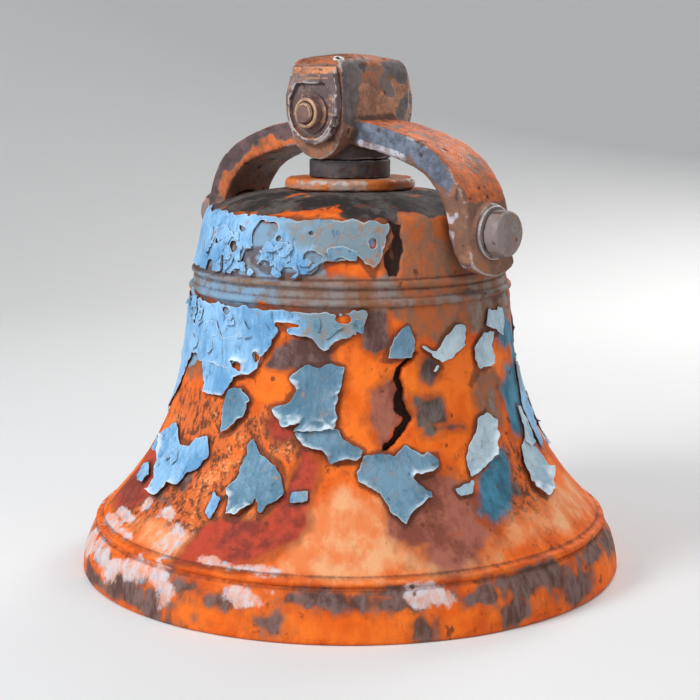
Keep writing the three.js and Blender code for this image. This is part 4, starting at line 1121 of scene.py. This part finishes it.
def cast_piece(node, name, voxel, blur, swell, grain, seed):
    """A casting's true skin: the solid's sharp edges melt away, and its faces pick up lumps and pits."""
    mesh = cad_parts[node].data.copy()
    made = bpy.data.objects.new(name, mesh)
    bpy.context.scene.collection.objects.link(made)
    melt = made.modifiers.new("melt", "REMESH")
    melt.mode = "VOXEL"
    melt.voxel_size = voxel * MM
    ease = made.modifiers.new("ease", "SMOOTH")
    ease.factor = 0.5
    ease.iterations = blur
    shape = bpy.data.meshes.new_from_object(made.evaluated_get(bpy.context.evaluated_depsgraph_get()))
    made.modifiers.clear()
    made.data = shape
    points, normals = vertex_data(shape)
    pit = np.clip(rough(points, 6, seed + 3) - 0.5, 0, 1) * 1.6
    pit += np.clip(lattice(points, 2.2, seed + 6) - 0.5, 0, 1)
    push = swell * rough(points, 24, seed) + grain * rough(points, 4, seed + 8) - grain * 4 * pit - 0.15
    points = points + normals * push[:, None]
    low, high = (np.array(corner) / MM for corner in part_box(node))
    points = np.clip(points, low, high)
    shape.vertices.foreach_set("co", (points * MM).ravel())
    shape.polygons.foreach_set("use_smooth", np.ones(len(shape.polygons), bool))
    shape.update()
    shape.materials.clear()
    record_mask(made, "pitted", np.clip(pit, 0, 1))
    return made


def old_iron(name, body, patch, warm, worn, wear=0.35, metal=0.35, stains=()):
    """Rusted bare iron: patches, warm rust where it faces up, and worn metal on its edges."""
    f = Finish(name)
    cloud = f.noise(22, 6)
    mottle = f.noise(6, 6, rough_share=0.65)
    speck = f.noise(1.7, 5)
    colour = f.mix(f.between(f.sum(cloud, mottle, 0.5), 0.68, 0.84), body, patch)
    colour = f.mix(f.between(f.sum(mottle, cloud, 0.7), 0.9, 1.0, 0.0, 0.75), colour, warm)
    upper = f.mix(f.between(f.sum(cloud, mottle, 0.6), 0.72, 0.9), warm, tuple(0.45 * c for c in warm))
    colour = f.mix(f.between(f.sum(f.mask("upward"), mottle, 0.5), 0.6, 0.8), colour, upper)
    for mask, dark, light in stains:
        stain = f.mix(f.between(f.sum(mottle, cloud, 0.8), 0.72, 1.08), dark, light)
        edge = f.sum(f.mask(mask), mottle, 0.5)
        colour = f.mix(f.between(edge, 0.62, 0.86, 0.0, 0.92), colour, stain)
    colour = f.mix(f.between(f.sum(mottle, speck, 0.5), 0.91, 1.0, 0.0, 0.8), colour, (0.035, 0.022, 0.02))
    colour = f.mix(f.between(f.mask("pitted"), 0.15, 0.7, 0.0, 0.85), colour, (0.06, 0.028, 0.02))
    colour = f.mix(f.between(f.mask("corner"), 0.15, 0.8, 0.0, 0.85), colour, (0.06, 0.028, 0.02))
    handled = f.sum(f.sum(f.sum(f.mask("edge"), mottle, 0.8), cloud, 1.2), speck, 0.4)
    rubbed = f.between(handled, 1.25 + wear, 1.5 + wear)
    colour = f.mix(rubbed, colour, worn)
    bright = f.between(rubbed, 0.2, 0.9, 0.1, metal)
    height = f.sum(f.sum(mottle, speck, 0.55), f.noise(0.8, 3), 0.3)
    return f.done(colour, f.between(mottle, 0.3, 0.7, 0.45, 0.74), height, 0.75, metal=bright, gloss=0.5)


# The bow's arch, in mm: one large arc over the crown joins two small side arcs above the feet.
ARCH_R, ARCH_Z = 230.6, 80.4
SIDE_R, SIDE_X, SIDE_Z = 63, 58.4, 237.5
ARM_THICKNESS = 18


def bow_stains(points, normals, seed):
    """Masks for what has stained each part of the bow, the same after half a turn about the bell's axis."""
    flip = np.where(points[:, 1] > 0, -1, 1)
    x, y, z = points[:, 0] * flip, points[:, 1] * flip, points[:, 2]
    arch = np.hypot(x, z - ARCH_Z) - ARCH_R
    side = np.hypot(np.abs(x) - SIDE_X, z - SIDE_Z) - SIDE_R
    leg = np.abs(x) - SIDE_X - SIDE_R
    share = 1 + np.where(np.abs(x) < 80, arch, np.where(z > SIDE_Z, side, leg)) / ARM_THICKNESS
    front = soft_step(np.abs(normals[:, 1]), 0.45, 0.75)
    on_arm = soft_step(np.abs(x), 25, 29)
    right, left = soft_step(x, 18, 30), soft_step(-x, 18, 30)
    wander = 0.3 * rough(points, 16, seed) + 0.1 * lattice(points, 4, seed + 4)
    hub_side = soft_step(np.abs(normals[:, 0]), 0.5, 0.8) * (1 - on_arm) * (np.abs(x) < 26)
    pale_low = soft_step(-share + 0.3 * wander, -0.34, -0.14) * soft_step(-x, -84, -60)
    foot = soft_step(-z, -266, -252) * soft_step(z, 222, 236)
    outer, top = soft_step(share + wander, 0.22, 0.5), soft_step(share + wander, 0.3, 0.5)
    upper_faces = soft_step(normals[:, 2] + np.abs(normals[:, 0]) * 0.6 + wander, 0.6, 0.95)
    upper_faces *= (1 - front) * (share > 0.7) * on_arm
    upper_faces *= 0.25 + 0.75 * soft_step(z + 22 * wander, 252, 272)
    upper_faces *= 0.45 + 0.55 * soft_step(wander, -0.22, 0.02)
    hub_top = wander * 1.3 + np.abs(y + 2) / 40 + (z - 325) / 60
    return {
        "dusky": front * left * top + front * right * soft_step(-z, -228, -214),
        "orange": front * left * soft_step(-share - wander, -0.45, -0.2) + upper_faces,
        "blued": front * right * outer * soft_step(-x - 20 * wander, -112, -98) * (z > 240),
        "bleached": front * right * np.maximum(pale_low, foot * soft_step(wander, -0.06, 0.3)) * on_arm,
        "hub_grey": hub_side * soft_step(hub_top, 0.42, 0.62),
        "hub_tan": hub_side * soft_step(z + 20 * wander, 296, 306)
        * soft_step(-z - 30 * wander, -340, -326),
        "neck_dark": soft_step(-np.hypot(x, y), -33, -30) * soft_step(-z, -297, -291),
    }


BOW_IRON = old_iron(
    "bow_iron", (0.2, 0.095, 0.062), (0.31, 0.15, 0.09), (0.44, 0.13, 0.045), (0.42, 0.37, 0.36), 0.75,
    stains=(
        ("dusky", (0.05, 0.03, 0.034), (0.15, 0.08, 0.085)),
        ("orange", (0.36, 0.08, 0.02), (0.74, 0.17, 0.035)),
        ("blued", (0.06, 0.075, 0.105), (0.17, 0.23, 0.32)),
        ("bleached", (0.2, 0.13, 0.13), (0.62, 0.6, 0.66)),
        ("hub_tan", (0.26, 0.12, 0.07), (0.55, 0.28, 0.17)),
        ("hub_grey", (0.085, 0.078, 0.086), (0.19, 0.165, 0.16)),
        ("neck_dark", (0.045, 0.041, 0.046), (0.07, 0.062, 0.066)),
    ),
)
bow = cast_piece("yoke", "bow_casting", 1.3, 6, 0.5, 0.14, 301)
bow_points, bow_normals = vertex_data(bow.data)
mark_edges(bow, 10, 1.1)
record_mask(bow, "upward", np.clip(bow_normals[:, 2], 0, 1) * soft_step(bow_points[:, 2], 300, 330))
for key, values in bow_stains(bow_points, bow_normals, 311).items():
    record_mask(bow, key, np.clip(values, 0, 1))
bow.data.materials.append(BOW_IRON)
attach(bow, "bell")
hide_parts("yoke")

# ---- Bearing caps ----
# A round-bottomed iron cap closes each end of the hub, with a raised rim round a sunk face.
HUB_IRON = old_iron(
    "hub_iron", (0.13, 0.085, 0.083), (0.22, 0.14, 0.125), (0.7, 0.28, 0.12), (0.5, 0.46, 0.45), 0.36,
)
for end, seed in (("front", 331), ("rear", 351)):
    cap = cast_piece(end + "_bearing_cap", end + "_cap_casting", 0.6, 9, 0.4, 0.14, seed)
    mark_edges(cap, 12, 1.6)
    cap_normals = vertex_data(cap.data)[1]
    record_mask(cap, "upward", np.clip(cap_normals[:, 2], 0, 1) * 0.9)
    cap.data.materials.append(HUB_IRON)
    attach(cap, "bell")
    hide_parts(end + "_bearing_cap")

# ---- Side bolts ----
# Each foot is held by one forged bolt with a plain round head and a peened rim.
TURN_COLUMNS = 96
HEAD_THICKNESS = 11.5
BOLT_R = 8
BOLT_HOLE_R = 8.3
BOSS_R = 15
BOSS_LENGTH = 20
BOSS_EDGE = 1.2
BOSS_SINK = 4


def turned_piece(name, profile, matrix, dents, seed, columns=TURN_COLUMNS):
    """A turned piece from a line of radius and height in mm, with small dents, placed by a matrix in mm."""
    line = np.array(profile, float)
    lengths = np.maximum(1, np.round(np.linalg.norm(np.diff(line, axis=0), axis=1) / 0.7).astype(int))
    parts = [np.linspace(a, b, n, endpoint=False) for a, b, n in zip(line, line[1:], lengths)]
    line = np.concatenate(parts + [line[-1:]])
    closed = np.allclose(line[0], line[-1])
    if closed:
        line = line[:-1]
    turn = np.linspace(0, 2 * math.pi, columns, endpoint=False)
    x, y = np.outer(line[:, 0], np.cos(turn)), np.outer(line[:, 0], np.sin(turn))
    points = np.stack([x, y, np.repeat(line[:, 1:], columns, 1)], axis=2).reshape(-1, 3)
    count = len(line)
    faces = []
    for row in range(count if closed else count - 1):
        after = (row + 1) % count
        for k in range(columns):
            n = (k + 1) % columns
            faces.append((row * columns + k, row * columns + n, after * columns + n, after * columns + k))
    made = build_mesh(name, points, faces)
    bm = bmesh.new()
    bm.from_mesh(made.data)
    bmesh.ops.remove_doubles(bm, verts=bm.verts, dist=0.00001)
    bmesh.ops.recalc_face_normals(bm, faces=bm.faces)
    bm.to_mesh(made.data)
    bm.free()
    points, normals = vertex_data(made.data)
    pit = np.clip(rough(points, 5, seed) - 0.45, 0, 1)
    push = dents * (lattice(points, 9, seed + 1) - 1) * 0.5
    push += dents * 0.5 * lattice(points, 3, seed + 2) - dents * 2 * pit
    points = points + normals * push[:, None]
    placed = points @ np.array(matrix.to_3x3()).T + np.array(matrix.translation)
    made.data.vertices.foreach_set("co", (placed * MM).ravel())
    made.data.update()
    record_mask(made, "pitted", np.clip(pit * 1.5, 0, 1))
    mark_edges(made, 4, 1.5)
    record_mask(made, "upward", np.zeros(len(points)))
    return made


def lying_along(axis, at):
    """A matrix that lays a turned piece's axis along +X, -X, +Y or -Y, from a place in mm."""
    return Matrix.Translation(at) @ Vector(axis).to_track_quat("Z", "Y").to_matrix().to_4x4()


BOLT_STEEL = old_iron(
    "bolt_steel", (0.27, 0.215, 0.2), (0.2, 0.17, 0.165), (0.36, 0.17, 0.1), (0.55, 0.51, 0.5), 0.35, 0.7,
)
for side, name in ((1, "right"), (-1, "left")):
    low, high = (np.array(corner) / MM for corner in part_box(name + "_side_bolt"))
    far, near = (high[0], low[0]) if side > 0 else (-low[0], -high[0])
    axis_z = (low[2] + high[2]) / 2
    head_r = (high[2] - low[2]) / 2
    head_low = far - HEAD_THICKNESS
    shank = [(0, near), (BOLT_R - 1.2, near), (BOLT_R, near + 1.2), (BOLT_R, head_low)]
    head = [
        (head_r - 1, head_low), (head_r - 0.2, head_low + 0.7), (head_r, head_low + 2),
        (head_r - 0.1, far - 3.4), (head_r - 0.5, far - 1.8), (head_r - 1.5, far - 0.8),
        (head_r - 3, far - 0.35), (head_r - 6, far - 0.15), (4, far), (0, far - 0.05),
    ]
    bolt_axis = lying_along((side, 0, 0), (0, 0, axis_z))
    bolt = turned_piece(name + "_bolt", shank + head, bolt_axis, 0.3, 371 + side)
    bolt.data.materials.append(BOLT_STEEL)
    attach(bolt, "bell")
    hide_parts(name + "_side_bolt")

    # The bolt screws into a boss cast inside the shoulder.
    boss_root = shoulder_radius(axis_z) - BOSS_SINK
    boss_end = shoulder_radius(axis_z) - BOSS_LENGTH
    boss_line = [
        (BOLT_HOLE_R, boss_end), (BOSS_R - BOSS_EDGE, boss_end), (BOSS_R, boss_end + BOSS_EDGE),
        (BOSS_R, boss_root), (BOLT_HOLE_R, boss_root), (BOLT_HOLE_R, boss_end),
    ]
    boss = turned_piece(name + "_inner_boss", boss_line, bolt_axis, 0.5, 376 + side)
    record_mask(boss, "inside", np.ones(len(boss.data.vertices)))
    boss.data.materials.append(bell_shell.data.materials[0])
    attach(boss, "bell")

# ---- Bolt washers and saddles ----
# A flat steel washer sits in each foot's spot face, and a wedge of iron packs the foot off the shoulder.
for side, name in ((1, "right"), (-1, "left")):
    low, high = (np.array(corner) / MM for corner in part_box(name + "_bolt_washer"))
    near, far = (low[0], high[0]) if side > 0 else (-high[0], -low[0])
    rim = (high[2] - low[2]) / 2
    washer_line = [
        (BOLT_HOLE_R, near), (rim, near), (rim, far - 0.5), (rim - 0.5, far), (BOLT_HOLE_R, far),
        (BOLT_HOLE_R, near),
    ]
    washer_axis = lying_along((side, 0, 0), (0, 0, (low[2] + high[2]) / 2))
    washer = turned_piece(name + "_flat_washer", washer_line, washer_axis, 0.12, 381 + side)
    washer.data.materials.append(BOLT_STEEL)
    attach(washer, "bell")
    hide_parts(name + "_bolt_washer")
    wedge = cast_piece(name + "_saddle_washer", name + "_wedge", 0.7, 3, 0.15, 0.08, 391 + side)
    mark_edges(wedge, 6, 1.2)
    wedge.data.materials.append(BOW_IRON)
    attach(wedge, "bell")
    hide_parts(name + "_saddle_washer")

# ---- Pivot pin and its collars ----
# A turned steel pin runs right through the hub. A washer and a collar on each end keep it in place.
PIN_STEEL = old_iron(
    "pin_steel", (0.12, 0.06, 0.058), (0.2, 0.11, 0.09), (0.42, 0.2, 0.1), (0.56, 0.36, 0.22), 0.3, 0.6,
)
low, high = (np.array(corner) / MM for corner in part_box("pivot_pin"))
pin_z, pin_r, pin_end = (low[2] + high[2]) / 2, (high[2] - low[2]) / 2, high[1]
PIN_EDGE = 1.2
pin_line = [
    (0, -pin_end), (pin_r - PIN_EDGE, -pin_end), (pin_r, -pin_end + PIN_EDGE),
    (pin_r, pin_end - PIN_EDGE), (pin_r - PIN_EDGE, pin_end), (0, pin_end),
]
pin = turned_piece("pin_bar", pin_line, lying_along((0, 1, 0), (0, 0, pin_z)), 0.18, 401)
pin.data.materials.append(PIN_STEEL)
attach(pin, "pin")
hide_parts("pivot_pin")
PIN_GAP = 0.3
for side, end in ((-1, "front"), (1, "rear")):
    for node, made_name, edge in (
        (end + "_pin_washer", end + "_thrust_washer", 0.5), (end + "_collar", end + "_set_collar", 1.1),
    ):
        low, high = (np.array(corner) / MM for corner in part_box(node))
        near, far = (low[1], high[1]) if side > 0 else (-high[1], -low[1])
        rim = (high[2] - low[2]) / 2
        line = [
            (pin_r + PIN_GAP, near), (rim - edge * 0.3, near), (rim, near + edge * 0.5),
            (rim, far - edge), (rim - edge * 0.35, far - edge * 0.3), (rim - edge, far),
            (pin_r + 1.1, far), (pin_r + PIN_GAP, far - 0.7), (pin_r + PIN_GAP, near),
        ]
        turned = turned_piece(made_name, line, lying_along((0, side, 0), (0, 0, pin_z)), 0.16, 411 + side)
        turned.data.materials.append(PIN_STEEL)
        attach(turned, "pin")
        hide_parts(node)

# ---- Crown plate and neck spacer ----
# A round-edged cast flange lies on the crown, and a short turned spacer stands between it and the hub.
NECK_IRON = old_iron(
    "neck_iron", (0.05, 0.046, 0.052), (0.075, 0.068, 0.072), (0.13, 0.07, 0.05), (0.3, 0.27, 0.26),
    0.5, 0.3,
)
PLATE_IRON = old_iron(
    "plate_iron", (0.7, 0.17, 0.025), (0.3, 0.27, 0.24), (0.78, 0.2, 0.035), (0.52, 0.44, 0.37), 0.3, 0.3,
)
low, high = (np.array(corner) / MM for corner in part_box("crown_plate"))
plate_r, plate_low, plate_high = high[0], low[2], high[2]
STUD_GAP_R = 9.3
PLATE_ROUND = 3.6
UNDER_EDGE = 1.4
quarter = np.radians(np.linspace(0, 90, 7))
round_r, round_z = plate_r - PLATE_ROUND, plate_high - PLATE_ROUND
edge_round = [(round_r + PLATE_ROUND * math.cos(a), round_z + PLATE_ROUND * math.sin(a)) for a in quarter]
plate_line = [
    (STUD_GAP_R, plate_low), (plate_r - UNDER_EDGE, plate_low), (plate_r, plate_low + UNDER_EDGE),
    *edge_round, (STUD_GAP_R, plate_high), (STUD_GAP_R, plate_low),
]
plate = turned_piece("crown_flange", plate_line, Matrix.Identity(4), 0.5, 421, 160)
plate.data.materials.append(PLATE_IRON)
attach(plate, "bell")
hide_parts("crown_plate")
low, high = (np.array(corner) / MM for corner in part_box("neck_spacer"))
neck_r, neck_low, neck_high = high[0], low[2], high[2]
neck_line = [
    (STUD_GAP_R, neck_low), (neck_r - 0.5, neck_low), (neck_r, neck_low + 0.8), (neck_r, neck_high - 0.6),
    (neck_r - 0.5, neck_high), (STUD_GAP_R, neck_high), (STUD_GAP_R, neck_low),
]
neck = turned_piece("neck_ring", neck_line, Matrix.Identity(4), 0.35, 425, 128)
neck.data.materials.append(NECK_IRON)
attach(neck, "bell")
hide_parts("neck_spacer")

# ---- Clapper ----
# A forged rod with an eye swings in the stud's fork. A cast ball is riveted on near its lower end.
CLAPPER_IRON = old_iron(
    "clapper_iron", (0.05, 0.042, 0.04), (0.085, 0.07, 0.065), (0.3, 0.1, 0.04), (0.4, 0.37, 0.35),
    0.35, 0.5,
)
for node, made_name, voxel, body, slot, metal in (
    ("clapper_rod", "clapper_shank", 0.9, "clapper", "clapper_iron", CLAPPER_IRON),
    ("clapper_ball", "clapper_weight", 1.0, "clapper", "clapper_iron", CLAPPER_IRON),
    ("crown_stud", "forked_stud", 0.9, "bell", "bolt_steel", BOLT_STEEL),
    ("crown_nut", "stud_nut", 0.6, "bell", "bolt_steel", BOLT_STEEL),
):
    part = cast_piece(node, made_name, voxel, 3, 0.15, 0.06, 431 + len(made_name))
    mark_edges(part, 6, 1.2)
    part.data.materials.append(metal)
    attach(part, body)
    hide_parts(node)

# ---- Oiler ----
# A small turned tube, worn bright, is pressed into the sloping corner of the hub's top. Its mouth is
# open and black with old oil.
OILER_METAL = old_iron(
    "oiler_metal", (0.5, 0.46, 0.42), (0.38, 0.34, 0.3), (0.4, 0.2, 0.1), (0.7, 0.67, 0.62), 0.2, 0.6,
    (("mouth", (0.012, 0.01, 0.01), (0.02, 0.016, 0.014)),),
)
HUB_TOP, HUB_CREST = 39.5, 8  # the hub's top above the pin, and half its level part
HUB_BREAK_Y, HUB_BREAK_Z = 31.5, 35  # where its slope steepens
OILER_X, OILER_Y, OILER_SEAT = 13.5, 26.5, 2.1
tilt_back = math.atan2(HUB_TOP - HUB_BREAK_Z, HUB_BREAK_Y - HUB_CREST)
oiler_z = HUB_TOP - (OILER_Y - HUB_CREST) * math.tan(tilt_back) - OILER_SEAT
tilt_side = math.atan2(OILER_X, oiler_z)
oiler_line = [
    (2.2, -6), (2.4, -6), (2.4, 0.2), (3.9, 0.2), (3.95, 1.6), (3.7, 2.2), (3.1, 2.55), (2.5, 2.4),
    (2.0, 1.6), (1.9, -6), (2.2, -6),
]
oiler_place = Matrix.Translation((OILER_X, -OILER_Y, oiler_z + pin_z))
oiler_place = oiler_place @ Matrix.Rotation(tilt_side, 4, "Y") @ Matrix.Rotation(tilt_back, 4, "X")
oiler = turned_piece("oiler_tube", oiler_line, oiler_place, 0.06, 441, 48)
oiler_points = vertex_data(oiler.data)[0] - np.array(oiler_place.translation)
along = oiler_points @ np.array(oiler_place.to_3x3())
record_mask(oiler, "mouth", soft_step(-np.hypot(along[:, 0], along[:, 1]), -2.5, -2.2))
oiler.data.materials.append(OILER_METAL)
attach(oiler, "bell")
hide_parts("oil_cup")

# ---- Bushes and small fixings ----
# Bronze bushes, and the small pins, screws and washers, keep their plain machined shapes.
BRONZE = old_iron(
    "oiled_bronze", (0.42, 0.25, 0.09), (0.3, 0.19, 0.08), (0.28, 0.14, 0.05), (0.75, 0.6, 0.38), 0.2, 0.9,
)
for node, metal in (
    ("front_bush", BRONZE), ("rear_bush", BRONZE), ("crown_washer", BOLT_STEEL),
    ("clapper_pin", BOLT_STEEL), ("clapper_pin_washer", BOLT_STEEL), ("split_pin", BOLT_STEEL),
    ("ball_rivet", BOLT_STEEL), ("front_grub_screw", BOLT_STEEL), ("rear_grub_screw", BOLT_STEEL),
):
    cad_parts[node].data.materials.clear()
    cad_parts[node].data.materials.append(metal)
